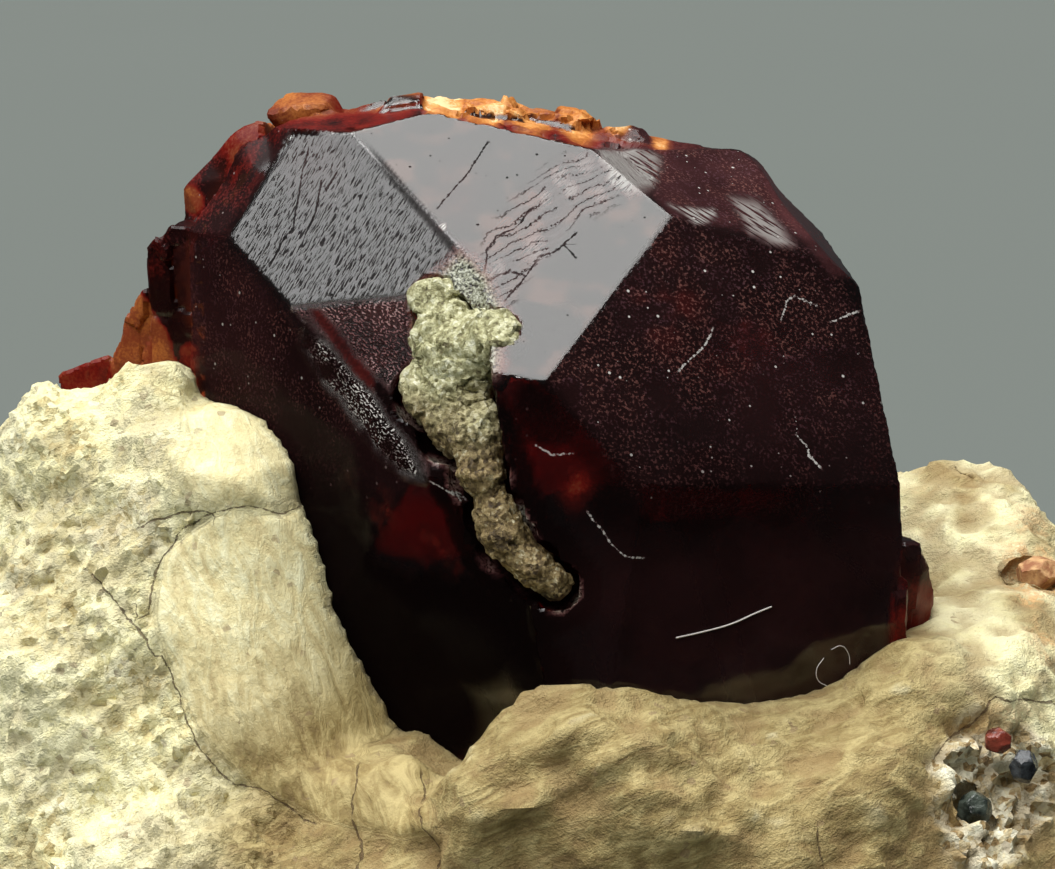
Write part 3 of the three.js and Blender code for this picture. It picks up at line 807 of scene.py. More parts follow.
def matrix_finish(settings):
    """Chalky cream to tan carbonate: granular, smooth where it was brushed, stained round the grains."""
    finish = Finish("cream_carbonate")
    smooth = finish.mask("smooth")
    gritty = finish.mask("gritty")

    patches = finish.noise(1.1, 4.0, 0.6)
    grain = finish.noise(0.20, 4.0, 0.65)
    fine = finish.noise(0.06, 3.0, 0.6)
    slope, number = finish.chips(0.19)
    cracks = (finish.mask("line_side").size() - grain * 0.14).step(-0.044, -0.058)
    cracks = cracks * finish.mask("dark_line")
    brushed = finish.frame_on(SLAB_WAY, BRUSHED_TURN, (0.50, 1.5, 0.8))
    level = finish.frame_on((0, 20), 22, (1.5, 0.42, 0.8))
    flow = finish.mix_vectors(smooth.step(0.25, 0.75), level, brushed)
    swirls = finish.noise(1.0, 4.0, 0.62, 1.1, flow)

    tint = finish.mask("broad") * 0.34 + patches * 0.34 + grain * 0.24
    tint = tint + (number - 0.5) * gritty * 0.14 + 0.04
    cream = finish.ramp(tint, [
        (0.34, settings.cream_colour),
        (0.46, settings.pale_colour),
        (0.58, (0.98, 0.94, 0.60)),
    ])
    tan = finish.ramp(tint * 0.5 + swirls * 0.5, [
        (0.36, (0.15, 0.092, 0.030)),
        (0.48, settings.tan_colour),
        (0.60, (0.56, 0.455, 0.205)),
    ])
    slab = finish.ramp(swirls * 0.6 + grain * 0.2 + fine * 0.2, [
        (0.34, (0.54, 0.40, 0.17)),
        (0.48, (0.79, 0.69, 0.36)),
        (0.62, (0.95, 0.93, 0.62)),
    ])
    colour = finish.blend(smooth * 0.8, cream, slab)
    colour = finish.blend(finish.mask("shaded"), colour, tan)
    rust = finish.ramp(patches * 0.3 + grain * 0.3 + number * 0.4, [
        (0.24, (0.05, 0.035, 0.02)),
        (0.33, (0.44, 0.29, 0.12)),
        (0.41, (0.86, 0.72, 0.42)),
        (0.52, (0.98, 0.94, 0.72)),
    ])
    colour = finish.blend(finish.mask("stained"), colour, rust)
    ochre = finish.ramp(grain, [(0.35, (0.42, 0.17, 0.05)), (0.60, (0.80, 0.48, 0.20))])
    colour = finish.blend(finish.mask("ochre") * grain.step(0.35, 0.55), colour, ochre)
    specks = number.step(0.95, 0.97) * patches.step(0.50, 0.60)
    colour = finish.blend(specks * 0.6, colour, (0.26, 0.17, 0.09))
    # Painted shade in the hollows, and the brown stains at the rear.
    colour = finish.blend(finish.mask("hollows") * 0.6, colour, (0.32, 0.21, 0.085))
    # Painted highlight on the crests.
    colour = finish.blend(finish.mask("crests") * 0.55, colour, (0.96, 0.91, 0.60))
    colour = finish.blend(finish.mask("contact") * 0.4, colour, (0.40, 0.36, 0.20))
    colour = finish.blend(cracks * grain.step(0.34, 0.50) * 0.80, colour, (0.110, 0.062, 0.024))

    chipped = slope * 0.85 + number * 0.22
    height = (chipped * gritty + grain * 0.55 + fine * 0.35) * (1.0 - smooth * 0.75)
    brushing = swirls * 0.55 * (smooth * 2.0 - 1.0).size()
    normal = finish.bump(height + brushing - cracks * 0.6, 0.20)
    chalk = finish.surface(Base_Color=colour, Roughness=0.6 + grain * 0.3, Normal=normal)
    return finish.finished(chalk)


def vein_finish(settings):
    """Granular carbonate with small glassy grains: greenish and pale above, browner below."""
    finish = Finish("tan_carbonate")
    grains = finish.noise(0.14, 4.0, 0.7)
    slope, number = finish.chips(0.11)
    tint = grains * 0.5 + finish.noise(0.7, 2.0) * 0.3 + number * 0.2
    lower = finish.ramp(tint, [
        (0.34, (0.045, 0.025, 0.008)),
        (0.46, settings.vein_colour),
        (0.58, (0.38, 0.28, 0.12)),
        (0.70, (0.76, 0.70, 0.48)),
    ])
    upper = finish.ramp(tint, [
        (0.34, (0.100, 0.085, 0.030)),
        (0.44, (0.300, 0.285, 0.130)),
        (0.56, (0.600, 0.590, 0.340)),
        (0.68, (0.860, 0.860, 0.660)),
    ])
    colour = finish.blend(finish.mask("upper"), lower, upper)
    fine = finish.noise(0.05, 3.0, 0.6)
    normal = finish.bump(grains * 0.8 + fine * 0.4 + slope * 0.6 + number * 0.2, 0.11)
    surface = finish.surface(Base_Color=colour, Roughness=0.35 + fine * 0.3, Normal=normal)
    return finish.finished(surface)


def grain_finish(name, dark, light, roughness):
    """A small glassy grain in two shades."""
    finish = Finish(name)
    veins = finish.noise(0.45, 4.0, 0.6, 0.4)
    colour = finish.blend(veins.step(0.35, 0.68), dark, light)
    normal = finish.bump(finish.noise(0.16, 3.0, 0.6), 0.05)
    surface = finish.surface(Base_Color=colour, Roughness=roughness + veins * 0.15, Normal=normal)
    return finish.finished(surface)


def fibre_finish():
    """Pale lint."""
    finish = Finish("lint")
    colour = finish.blend(finish.noise(0.3), (0.62, 0.58, 0.55), (0.85, 0.82, 0.80))
    return finish.finished(finish.surface(Base_Color=colour, Roughness=0.6))


def floor_finish(colour):
    """A plain sheet with the faintest mottle."""
    finish = Finish("floor_sheet")
    mottle = finish.noise(60.0, 2.0)
    shaded = finish.blend(mottle, [0.97 * part for part in colour], colour)
    return finish.finished(finish.surface(Base_Color=shaded, Roughness=0.85, Specular_IOR_Level=0.2))


# ---------------------------------------------------------------- the crystal

# What the crystal's finish reads from the points of the piece.
CRYSTAL_MASKS = (
    "striated", "mirror", "red_face", "stepped", "speckled", "crust", "grooved", "terraces", "levels",
    "amber", "broken", "thick", "veils", "pale", "haze", "dusty", "line_side", "dark_line", "pale_line",
)


def crystal_faces(relief, wavy):
    """The flat faces, the terraces on one of them, and what surrounds the vein, as masks."""
    points = relief.points
    front = smooth_step(-0.05, 0.15, -relief.normals[:, 1])
    striated = inside(points, STRIATED_FACE, 0.08) * relief.faces_near(STRIATED_WAY, 30)
    mirror = inside(points, MIRROR_FACE, 0.2) * relief.faces_near(MIRROR_WAY, 26)
    red_area = inside(points, RED_FACE, 0.08) * relief.faces_near(RED_WAY, 40)
    stripe = inside(wavy, RED_STRIPE, 0.15) * front
    band = inside(wavy, SPARKLING_BAND, 0.35) * front
    speckled = inside(points, SPECKLED_FRONT, 0.5) + inside(points, UPPER_RIGHT_FACE, 0.4)
    across = points @ face_axes(MIRROR_WAY, -52).T

    gap = gap_to_node(wavy, "vein_filling", 1.2)[1]
    near_top = smooth_step(18.6, 20.0, points[:, 2])
    powdered = np.clip(near_top + smooth_step(0.0, 0.4, noise(points, 1.1, 26, 2)), 0.0, 1.0)
    beside_vein = smooth_step(0.40, 0.18, gap) * powdered
    return {
        "front": front,
        "flat": np.maximum(mirror, striated),
        "striated": striated,
        "mirror": mirror,
        "red_area": red_area,
        "red_face": red_area * (1.0 - band) * (1.0 - stripe),
        "stripe": stripe,
        "band": band,
        "stepped": band * (1.0 - stripe),
        "speckled": np.clip(speckled, 0.0, 1.0) * (1.0 - mirror) * front,
        "flank": inside(points, LEFT_FACE, 0.8) * front,
        "round_vein": smooth_step(1.05, 0.75, gap) * (1.0 - near_top),
        "crust": np.maximum(inside(wavy, CRUST, 0.6) * front, beside_vein),
        "grooved": smooth_step(24.6, 21.8, points[:, 2] + 0.8 * noise(points, 1.5, 24, 2)),
        "terraces": mirror * inside(wavy, TERRACES, 0.5),
        "levels": across[:, 0] / 0.33 + 1.4 * noise(across / (0.8, 1.3, 1.0), 1.0, 34, 3),
    }


def crystal_breaks(relief, wavy, masks):
    """Adds the broken parts and the painted glow of light through the crystal, and how far their colour
    goes from dark red to orange.
    """
    points = relief.points
    height = points[:, 2]
    front = masks["front"]
    open_parts = 1.0 - masks["flat"]
    top = smooth_step(23.7, 24.3, height) * smooth_step(-0.6, 0.2, points[:, 1]) * open_parts
    right_face = inside(points, UPPER_RIGHT_FACE, 0.2) * smooth_step(2.6, 3.2, points[:, 0]) * front
    shoulder = inside(wavy, LEFT_SHOULDER, 0.4) * open_parts
    shards = smooth_step(-9.3, -9.9, wavy[:, 0]) * (1.0 - shoulder)
    below_top = smooth_step(14.6, 13.4, height + noise(points, 1.2, 67, 2))
    masks["right_face"] = right_face
    masks["top_break"] = top * (1.0 - right_face)
    masks["shoulder"] = shoulder
    masks["shards"] = shards
    masks["spur"] = smooth_step(9.7, 10.2, points[:, 0]) * below_top

    rear_amber = smooth_step(0.6, 1.8, points[:, 1]) * smooth_step(-0.1, 0.5, noise(points, 3.0, 25, 2))
    rear_amber *= smooth_step(21.0, 24.0, height)
    flake_number = crumbs(points * FLAKE_STRETCH, FLAKE_SIZE, FLAKE_SEED)[2]
    painted = relief.patches(AMBER_PATCHES, 0.6) * open_parts * (0.72 + 0.42 * flake_number)
    painted = np.maximum(painted, 0.50 * inside(wavy, ORANGE_SHARD, 0.15) * shards)
    painted = np.maximum(painted, 0.33 * inside(wavy, SHARD_TIP, 0.2) * shards)
    painted *= 1.0 - 0.9 * inside(wavy, DARK_SHARD, 0.2)
    # Painted glow: the listed patches, the red stripe and the red face, standing in for light passing
    # through the crystal.
    uneven = np.clip(0.45 + 1.7 * noise(points, 0.9, 61, 3) + 0.9 * noise(points, 0.28, 65, 2), 0.0, 1.5)
    glow = relief.patches(RED_GLOWS) * front * uneven
    stripe_glow = masks["stripe"] * (0.35 + 0.65 * smooth_step(19.6, 18.4, height))
    glow = np.maximum.reduce([glow, stripe_glow, 0.5 * masks["red_area"]]) * open_parts
    masks["glow"] = np.clip(glow, 0.0, 1.0)
    # The amber takes a little of the painted glow.
    masks["amber"] = np.clip(np.maximum(painted, 0.26 * masks["glow"]) + 0.45 * rear_amber, 0.0, 1.1)
    opaque = 0.85 * masks["top_break"] + 0.85 * shards + 0.9 * masks["spur"] + 0.90 * shoulder
    masks["opaque"] = np.clip(opaque, 0.0, 1.0)
    # The broken layer also carries the painted glow and the red stripe.
    covered = np.maximum.reduce([opaque + 1.3 * painted, 0.85 * glow, 2.0 * masks["stripe"]])
    covered = np.clip(covered, 0.0, 0.96) * open_parts * (1.0 - masks["round_vein"])
    masks["broken"] = np.where(front > 0.5, covered, np.maximum(covered, 0.6 * rear_amber))


def crystal_shades(relief, wavy, masks):
    """Adds the painted shade, the painted highlights, the film with painted sheen, the specks with painted
    glints, and the thin drawn lines.
    """
    points = relief.points
    height = points[:, 2]
    front = masks["front"]
    flank = masks["flank"]
    open_parts = 1.0 - masks["flat"]
    # Painted shade: a black sheet without reflection over the listed patches, the left face, the sparkling
    # band, the red face and the speckled front, less under the painted glow.
    thick = np.maximum(relief.patches(PAINTED_SHADE_PARTS, 0.6), 0.95 * flank) * (1.0 - 0.55 * masks["glow"])
    full_band = np.clip(2.4 * masks["band"], 0.0, 1.0) * (1.0 - masks["stripe"])
    dull = [thick, 0.97 * full_band, 0.72 * masks["red_area"], 0.60 * masks["speckled"]]
    thick = np.maximum.reduce(dull)
    thick = np.clip(thick, 0.0, 0.97) * front * (1.0 - masks["opaque"]) * open_parts
    # Painted shade along the edge between the striated and the mirror face, and round the lower vein.
    edge = smooth_step(0.17, 0.08, along_line(points, relief.front_points(FACE_EDGE))[0])
    masks["thick"] = np.maximum.reduce([thick, 0.80 * edge, 0.96 * masks["round_vein"] * front])
    masks["veils"] = 0.5 + 0.5 * noise(points, 0.9, 62, 4)

    # Painted highlights and painted reflection: bright bevels, grey streaks, pale spots and a little on
    # the terraces.
    bevels = 0.34 * inside(wavy, BRIGHT_BEVEL, 0.15) + 0.30 * inside(wavy, STRIPED_BEVEL, 0.30)
    greys = 0.32 * inside(wavy, GREY_STREAKS, 0.3) + 0.05 * masks["terraces"]
    masks["pale"] = np.clip(relief.patches(PALE_SPOTS, 0.3) + bevels + greys, 0.0, 0.9) * front
    # Painted reflection on the narrow strip at the right edge.
    strip = inside(points, EDGE_STRIP, 0.15) * front
    # The film: partly a dull etched surface, partly painted sheen.
    haze = 0.020 * masks["speckled"] + 0.07 * masks["right_face"] + 0.09 * strip + 0.04 * flank
    haze += 0.04 * relief.patches(HAZE_AND_SHEEN_PATCHES)
    haze *= np.clip(0.8 + 0.6 * noise(points, 1.6, 63, 3), 0.0, 2.0) * smooth_step(14.5, 19.0, height)
    # Painted reflection of the matrix on the lower front.
    lower_front = smooth_step(0.0, 3.5, points[:, 0]) * smooth_step(16.5, 14.0, height) * front
    masks["haze"] = haze + 0.030 * lower_front * (1.0 + 0.8 * noise(points, 1.4, 66, 3))
    # Where the painted glint specks and dots lie.
    dusty = masks["speckled"] * (0.8 + 0.5 * noise(points, 1.8, 64, 2)) * (1.0 - 0.8 * strip)
    dusty += 0.50 * flank + 0.30 * masks["shoulder"] + 0.12 * front
    masks["dusty"] = np.clip(dusty, 0.0, 1.0) * open_parts * smooth_step(14.0, 20.0, height)

    side, near_crack = relief.drawn_lines(CRYSTAL_CRACKS, reach=0.25, waver=0.07)
    pale_side, near_scratch = relief.drawn_lines(PALE_SCRATCHES, reach=0.25, waver=0.07)
    masks["line_side"] = np.clip(np.where(near_crack > 0.0, side, pale_side), -1.0, 1.0)
    masks["dark_line"] = smooth_step(0.0, 0.3, near_crack)
    masks["pale_line"] = smooth_step(0.0, 0.3, near_scratch)


def crystal_relief(relief, masks):
    """Growth lines, steps, broken ends and shards, as real relief."""
    points = relief.points
    wander = 0.35 * noise(points, 1.3, 31, 2)
    upright = points @ face_axes(STRIATED_WAY, GROWTH_TURN).T / (0.32, 1.6, 3.0) + wander[:, None]
    relief.push += masks["striated"] * 0.006 * noise(upright, 1.0, 32, 2)
    whole = np.floor(masks["levels"])
    stair = whole + smooth_step(0.40, 0.60, masks["levels"] - whole)
    relief.push += masks["terraces"] * 0.006 * (stair - 0.9 * masks["levels"])
    ledges = noise(points @ face_axes((-38, 20), 35).T / (0.25, 0.6, 0.6), 1.0, 37, 2)
    relief.push += masks["stepped"] * 0.012 * ledges

    flake, joint, _ = flakes(points * FLAKE_STRETCH, FLAKE_SIZE, FLAKE_SEED, 0.9)
    splinter, splinter_joint, _ = flakes(points * (1.0, 1.0, 0.6), 1.3, 45, 0.30)
    ragged = noise(points, 0.35, 43, 3)
    crease = smooth_step(0.10, 0.0, joint)
    splinter_crease = smooth_step(0.10, 0.0, splinter_joint)
    crumpled = masks["top_break"] * (0.04 + 0.96 * smooth_step(-3.4, -2.6, points[:, 0]))
    relief.push += crumpled * (0.42 * flake + 0.04 * ragged - 0.05 * crease - 0.06)
    relief.push += masks["shards"] * (0.5 * splinter + 0.04 * ragged - 0.05 * splinter_crease)
    relief.push += masks["spur"] * (0.4 * splinter + 0.05 * ragged)
    relief.push += masks["crust"] * 0.05 * noise(points, 0.30, 48, 3)
    relief.push += 0.006 * noise(points, 2.6, 46, 2)
    rear = smooth_step(-0.3, 0.3, relief.normals[:, 1])
    relief.push -= 0.30 * relief.patches(BEHIND_MIRROR) * rear
    relief.push += relief.patches(SWELLINGS) * (1.0 - masks["flat"])


def refine_faces(piece, outlines, node):
    """Cuts the display-side faces inside some outlines in four and lays them back on the solid."""
    middles = vectors_of(piece.data.polygons, "center") / MM
    outward = vectors_of(piece.data.polygons, "normal")
    chosen = np.zeros(len(middles), bool)
    for outline in outlines:
        chosen |= inside(middles, outline, 0.3) > 0.5
    subdivide_faces(piece, chosen & (outward[:, 1] < -0.05))
    lay_on_node(piece, node)


def build_crystal(settings):
    """The crystal: an even mesh, finer on its bright faces, with its relief and masks."""
    node = "clinohumite_crystal"
    crystal = even_copy(node, "gem_crystal", settings.crystal_mesh)
    fine_parts = (STRIATED_FACE, MIRROR_FACE, RED_FACE, SPARKLING_BAND, TOP_RIM, LEFT_SHARDS)
    refine_faces(crystal, fine_parts, node)
    refine_faces(crystal, (TERRACES,), node)
    relief = Relief(crystal)
    wavy = wavering(relief.points, 0.12, 0.6, 20)
    masks = crystal_faces(relief, wavy)
    crystal_breaks(relief, wavy, masks)
    crystal_shades(relief, wavy, masks)
    crystal_relief(relief, masks)
    relief.apply(limit=0.45)
    for name in CRYSTAL_MASKS:
        store_mask(crystal, name, masks[name])
    shade(crystal, sharp_angle=24)
    install(crystal, crystal_finish(settings), "clinohumite", node)


# ---------------------------------------------------------------- the matrix

SLAB = [(-8.6, 14.9), (-6.3, 14.9), (-5.4, 13.0), (-4.4, 10.6), (-3.6, 9.6), (-2.6, 9.0), (-2.5, 8.2),
        (-3.4, 7.8), (-5.6, 7.6), (-7.2, 8.1), (-8.6, 9.2), (-9.6, 10.6), (-10.2, 12.4), (-10.0, 13.9)]
UPPER_KNOB = [(-9.6, 18.2), (-7.2, 17.6), (-6.2, 16.2), (-6.3, 15.0), (-8.6, 15.0), (-9.6, 15.6)]
PIT = [(10.7, 9.9), (11.8, 10.3), (13.2, 9.9), (14.6, 9.0), (14.2, 7.6), (12.6, 7.2), (11.4, 7.4),
       (10.6, 8.6)]
ABOVE_PIT = [(11.3, 10.1), (12.6, 10.7), (13.9, 10.3), (13.4, 9.8), (12.2, 10.0)]
SHADED_FRONT = [(-2.6, 13.0), (11.0, 13.0), (12.5, 9.8), (15.0, 8.0), (18.5, 5.0), (15.0, -1.0),
                (-6.0, -1.0), (-9.0, 4.0), (-8.5, 8.0), (-5.5, 9.5), (-4.2, 10.6)]
CRACKS = [
    [(-10.6, 14.5), (-9.6, 14.9), (-8.6, 15.05), (-7.6, 15.2), (-6.5, 14.9)],
    [(-8.7, 15.0), (-9.6, 14.4), (-10.1, 13.6), (-10.4, 12.7), (-10.6, 12.3)],
    [(-12.0, 13.1), (-11.3, 12.6), (-10.8, 12.1), (-10.3, 11.5)],
    [(-9.9, 11.2), (-9.6, 10.6), (-9.3, 9.8), (-8.8, 9.2), (-8.1, 8.5), (-7.5, 8.3), (-6.4, 7.8),
     (-6.0, 7.6)],
    [(-2.8, 8.6), (-2.6, 7.9), (-2.5, 7.2), (-2.8, 6.6)],
    [(-4.6, 8.6), (-4.7, 7.9), (-4.4, 7.2), (-4.6, 6.7)],
    [(12.6, 10.8), (13.6, 10.5), (14.6, 10.1), (15.8, 9.5)],
    [(11.0, 9.9), (12.0, 10.25), (12.4, 10.7)],
    [(7.5, 8.6), (7.7, 7.7), (7.5, 6.9)],
]

# Raised folds across the front: places, width and height.
CREASES = [
    ([(2.4, 11.2), (3.0, 10.8), (4.2, 10.1), (5.2, 9.3), (5.9, 8.6)], 0.50, 0.24),
    ([(2.9, 10.9), (1.9, 10.4), (0.8, 9.9), (-0.2, 9.4), (-1.2, 8.9)], 0.45, 0.24),
    ([(-3.9, 9.4), (-3.0, 8.8), (-2.4, 8.0), (-2.1, 7.0)], 0.40, 0.16),
    ([(5.3, 10.7), (6.8, 10.4), (8.3, 10.7)], 0.45, 0.10),
    ([(9.0, 11.0), (10.1, 10.6), (10.9, 10.0)], 0.5, 0.14),
]

# Soft patches of the front: x, z, radius, and strength or depth.
LOWERED = [
    (14.0, 14.6, 2.4, 0.30), (11.8, 14.3, 1.6, 0.35), (-12.7, 17.9, 2.0, 0.50),
    (-11.2, 18.3, 1.0, 0.20), (-9.35, 17.6, 0.55, 0.50),
]
CALM_TOP = [(-10.6, 18.2, 3.6, 0.8)]
OCHRE_PATCHES = [(14.9, 11.7, 1.6, 0.9), (12.2, 12.6, 1.2, 0.25), (14.0, 12.6, 1.0, 0.3)]


def matrix_parts(relief, gap):
    """The free, the smooth, the pitted and the left parts of the matrix, as masks."""
    points = relief.points
    front = smooth_step(0.1, -0.3, relief.normals[:, 1])
    top_or_front = smooth_step(-0.5, 0.2, relief.normals[:, 2] - relief.normals[:, 1])
    slab = inside(points, SLAB, 0.4) * front
    knob = 0.9 * inside(wavering(points, 0.35, 1.3, 90, ways=1), UPPER_KNOB, 0.8) * top_or_front
    return {
        "free": smooth_step(0.35, 0.9, points[:, 2]) * smooth_step(0.3, 0.9, gap),
        "smooth": np.clip(slab + knob, 0.0, 1.0),
        "pit": inside(wavering(points, 0.5, 0.9, 70, ways=1), PIT, 0.5) * front,
        "left": smooth_step(-3.5, -7.5, points[:, 0] + 0.35 * (points[:, 2] - 8.0)),
    }


def matrix_relief(relief, gap, parts):
    """Crests, thin sheets, chips and grit on the rough parts, soft waves on the smooth ones; returns
    how high each point lies between the hollows and the crests."""
    points = relief.points
    left = parts["left"]
    pit = parts["pit"]
    rough = (1.0 - parts["smooth"]) * parts["free"]
    rim = smooth_step(1.6, 0.5, gap)
    calm = 1.0 - relief.patches(CALM_TOP, 0.3)

    warped = wavering(points, 0.5, 1.8, 66)
    crests = ridges(warped * (1.0, 1.0, 1.35), 2.7, 71, 3)
    creased = ridges(warped, 0.95, 75, 3)
    crested = 0.20 * crests + 0.07 * creased * (1.0 - 0.5 * rim)
    relief.push += rough * (1.0 - 0.55 * left) * calm * crested

    sheets = (points @ np.array([0.50, 0.25, 0.83])) / 0.62 + 0.5 * noise(points, 2.2, 76, 2)
    saw = sheets - np.floor(sheets)
    saw = saw * smooth_step(1.0, 0.80, saw)
    leafy = smooth_step(4.5, 8.0, points[:, 0]) * smooth_step(-0.1, 0.4, noise(points, 3.0, 78, 2) + 0.25)
    relief.push += rough * leafy * 0.13 * (saw - 0.4) * (1.0 - pit)

    chip, joint, number = flakes(points, 0.50, 77, 0.40)
    gritty = np.clip(0.25 + 0.85 * left + pit, 0.0, 1.4) * (1.0 - 0.7 * rim)
    chipped = chip + 0.07 * (number - 0.5) - 0.03 * smooth_step(0.10, 0.0, joint)
    relief.push += rough * gritty * calm * chipped
    knobbly = 0.07 * ridges(points, 0.8, 79, 3) + 0.14 * noise(points, 2.4, 80, 2)
    relief.push += rough * left * calm * knobbly
    relief.push += pit * parts["free"] * (0.50 * (number - 0.62))

    brush = points @ face_axes(SLAB_WAY, BRUSHED_TURN).T / (0.7, 2.6, 1.0)
    waves = 0.05 * noise(brush, 1.0, 85, 3) + 0.10 * noise(points, 1.9, 86, 2)
    relief.push += parts["smooth"] * parts["free"] * waves
    return 0.6 * creased + 0.4 * crests


def matrix_stains(relief, parts, level):
    """What the matrix's finish reads: its smooth and gritty parts, stains, the shaded parts, painted shade
    in the hollows and painted highlights on the crests.
    """
    points = relief.points
    smooth = parts["smooth"]
    left = parts["left"]
    rear = smooth_step(10.5, 13.0, points[:, 0]) * smooth_step(-6.0, -2.0, points[:, 1])
    blotches = noise(points, 1.8, 82, 3)
    streaks = noise(points * (1.6, 1.6, 0.7), 1.8, 81, 3)
    left_stains = smooth_step(-9.0, -10.4, points[:, 0]) * smooth_step(0.25, 0.6, blotches)
    rear_stains = rear * smooth_step(-0.10, 0.30, streaks)
    # Painted shade: browner in the hollows between the crests.
    hollows = (1.0 - 0.4 * left) * smooth_step(-0.15, -0.75, level)
    above_pit = inside(points, ABOVE_PIT, 0.3)
    ochre = relief.patches(OCHRE_PATCHES, 0.2) * smooth_step(-0.3, 0.2, noise(points, 0.9, 88, 3))

    shaded = inside(wavering(points, 0.8, 2.0, 84, ways=1), SHADED_FRONT, 2.4)
    shaded *= smooth_step(2.0, -4.0, points[:, 1])
    patchy = np.clip(0.50 + 1.8 * noise(points, 1.6, 89, 3), 0.0, 1.0)
    shaded = np.maximum(shaded, rear * smooth_step(9.5, 12.0, points[:, 2]) * patchy)
    # Painted shade: the slab darker towards its foot.
    slab_foot = smooth * smooth_step(13.5, 9.0, points[:, 2] - 0.35 * points[:, 0] - 2.2)
    gritty = 0.22 + 0.8 * left + parts["pit"] + 0.3 * noise(points, 2.5, 87, 2)
    return {
        "smooth": smooth,
        "gritty": np.clip(gritty, 0.0, 1.2),
        "stained": np.maximum(parts["pit"] * (1.0 - above_pit), 0.40 * left_stains),
        "ochre": np.maximum(ochre, 0.4 * above_pit),
        "hollows": np.maximum(hollows, rear_stains) * (1.0 - smooth),
        # Painted highlight on the crests.
        "crests": smooth_step(0.45, 0.85, level) * (1.0 - smooth) * parts["free"],
        "broad": 0.5 + 0.5 * noise(points, 5.0, 83, 3),
        "shaded": np.clip(shaded * (1.0 - 0.55 * smooth) + 0.85 * slab_foot, 0.0, 1.0),
    }


def build_matrix(settings):
    """The matrix: granular rock with smooth slabs, cracks and creases, pressed up to the crystal."""
    node = "matrix"
    rock = even_copy(node, "rock_matrix", settings.matrix_mesh)
    relief = Relief(rock)
    way, gap = gap_to_node(relief.points, "clinohumite_crystal", 2.0)
    parts = matrix_parts(relief, gap)
    level = matrix_relief(relief, gap, parts)
    relief.push -= relief.patches(LOWERED)
    side, near_crack = relief.drawn_lines(CRACKS, reach=0.35, waver=0.16)
    relief.push -= 0.10 * smooth_step(0.16, 0.0, np.abs(side)) * near_crack
    for places, width, height in CREASES:
        relief.stroke(places, width, height, waver=0.15, seed=int(100 * width))
    relief.apply(limit=0.60)

    outward = evened(rock, relief.normals, rounds=4)
    outward /= np.linalg.norm(outward, axis=1)[:, None]
    toward_crystal = turned_toward(outward, way, gap)
    closing = smooth_step(0.9, 0.5, gap) * smooth_step(0.35, 0.75, toward_crystal)
    move_points(rock, points_of(rock) + evened(rock, way * closing[:, None] * 1.05, rounds=3))

    masks = matrix_stains(relief, parts, level)
    masks["line_side"] = np.clip(side, -1.0, 1.0)
    masks["dark_line"] = smooth_step(0.0, 0.3, near_crack)
    masks["contact"] = smooth_step(0.7, 0.2, gap) * smooth_step(0.2, 0.6, toward_crystal)
    for name, values in masks.items():
        store_mask(rock, name, values)
    shade(rock, sharp_angle=60)
    install(rock, matrix_finish(settings), "cream_carbonate", node)


# ---------------------------------------------------------------- the vein, the grains and the lint


def build_vein(settings):
    """The granular filling of the groove: crumbly and pressed to its wall above, narrower below."""
    node = "vein_filling"
    vein = even_copy(node, "vein_crust", settings.vein_mesh)
    points = points_of(vein)
    height = points[:, 2]
    rounded = evened(vein, points, rounds=60)
    move_points(vein, rounded)
    way, gap = gap_to_node(rounded, "clinohumite_crystal", 1.2)
    toward_wall = turned_toward(normals_of(vein), way, gap)
    closing = smooth_step(1.2, 0.9, gap) * smooth_step(0.05, 0.40, toward_wall)
    closing *= smooth_step(18.2, 19.4, height) * (0.85 + 0.8 * noise(points, 0.9, 97, 2))
    move_points(vein, rounded + evened(vein, way * closing[:, None], rounds=4))

    relief = Relief(vein)
    upper = smooth_step(17.4, 19.6, height + 0.8 * noise(points, 1.2, 96, 2))
    crumb, joint, number = flakes(wavering(points, 0.1, 0.5, 90, ways=1), 0.34, 91, 0.5)
    crumbly = (0.6 + 0.4 * upper) * (0.7 * crumb + 0.10 * (number - 0.5))
    relief.push += 0.06 + 0.06 * upper + (0.10 + 0.10 * upper) * noise(points, 0.7, 92, 3)
    relief.push += crumbly - 0.04 * smooth_step(0.07, 0.0, joint)
    relief.push += 0.05 * noise(points, 0.22, 95, 2)
    relief.apply(limit=0.35)
    store_mask(vein, "upper", upper)
    shade(vein, sharp_angle=60)
    install(vein, vein_finish(settings), "tan_carbonate", node)


# For each grain: its slot, its dark and its light shade, and its roughness.
GRAINS = {
    "red_grain": ("red_grain", (0.055, 0.008, 0.005), (0.26, 0.05, 0.03), 0.12),
    "dark_grain_upper": ("dark_grain", (0.012, 0.013, 0.015), (0.07, 0.08, 0.09), 0.18),
    "dark_grain_lower": ("dark_grain", (0.010, 0.014, 0.012), (0.09, 0.11, 0.09), 0.15),
    "rusty_grain": ("rusty_grain", (0.30, 0.11, 0.04), (0.66, 0.40, 0.18), 0.6),
}


def build_grains(settings):
    """Each grain: the angular solid, softened at its edges and lightly pitted."""
    for seed, (node, (slot, dark, light, roughness)) in enumerate(GRAINS.items()):
        grain = even_copy(node, node + "_face", settings.grain_mesh)
        relief = Relief(grain)
        relief.push += 0.03 * noise(relief.points, 0.5, 101 + seed, 3)
        relief.push += 0.08 * noise(relief.points, 1.0, 111 + seed, 1)
        relief.apply(limit=FAR)
        shade(grain, sharp_angle=35)
        install(grain, grain_finish(node + "_finish", dark, light, roughness), slot, node)


# For each fibre: its radius in mm, and its places on the crystal.
LINT = {
    "lint_fibre": (0.022, [(3.9, 12.7), (4.6, 12.75), (5.4, 12.85), (6.1, 13.05), (6.5, 13.15)]),
    "lint_curl": (0.012, [(8.0, 11.5), (7.8, 11.2), (7.85, 10.9), (8.1, 10.7)]),
    "lint_hair": (0.010, [(8.2, 11.7), (8.5, 11.75), (8.7, 11.5), (8.75, 11.2)]),
}


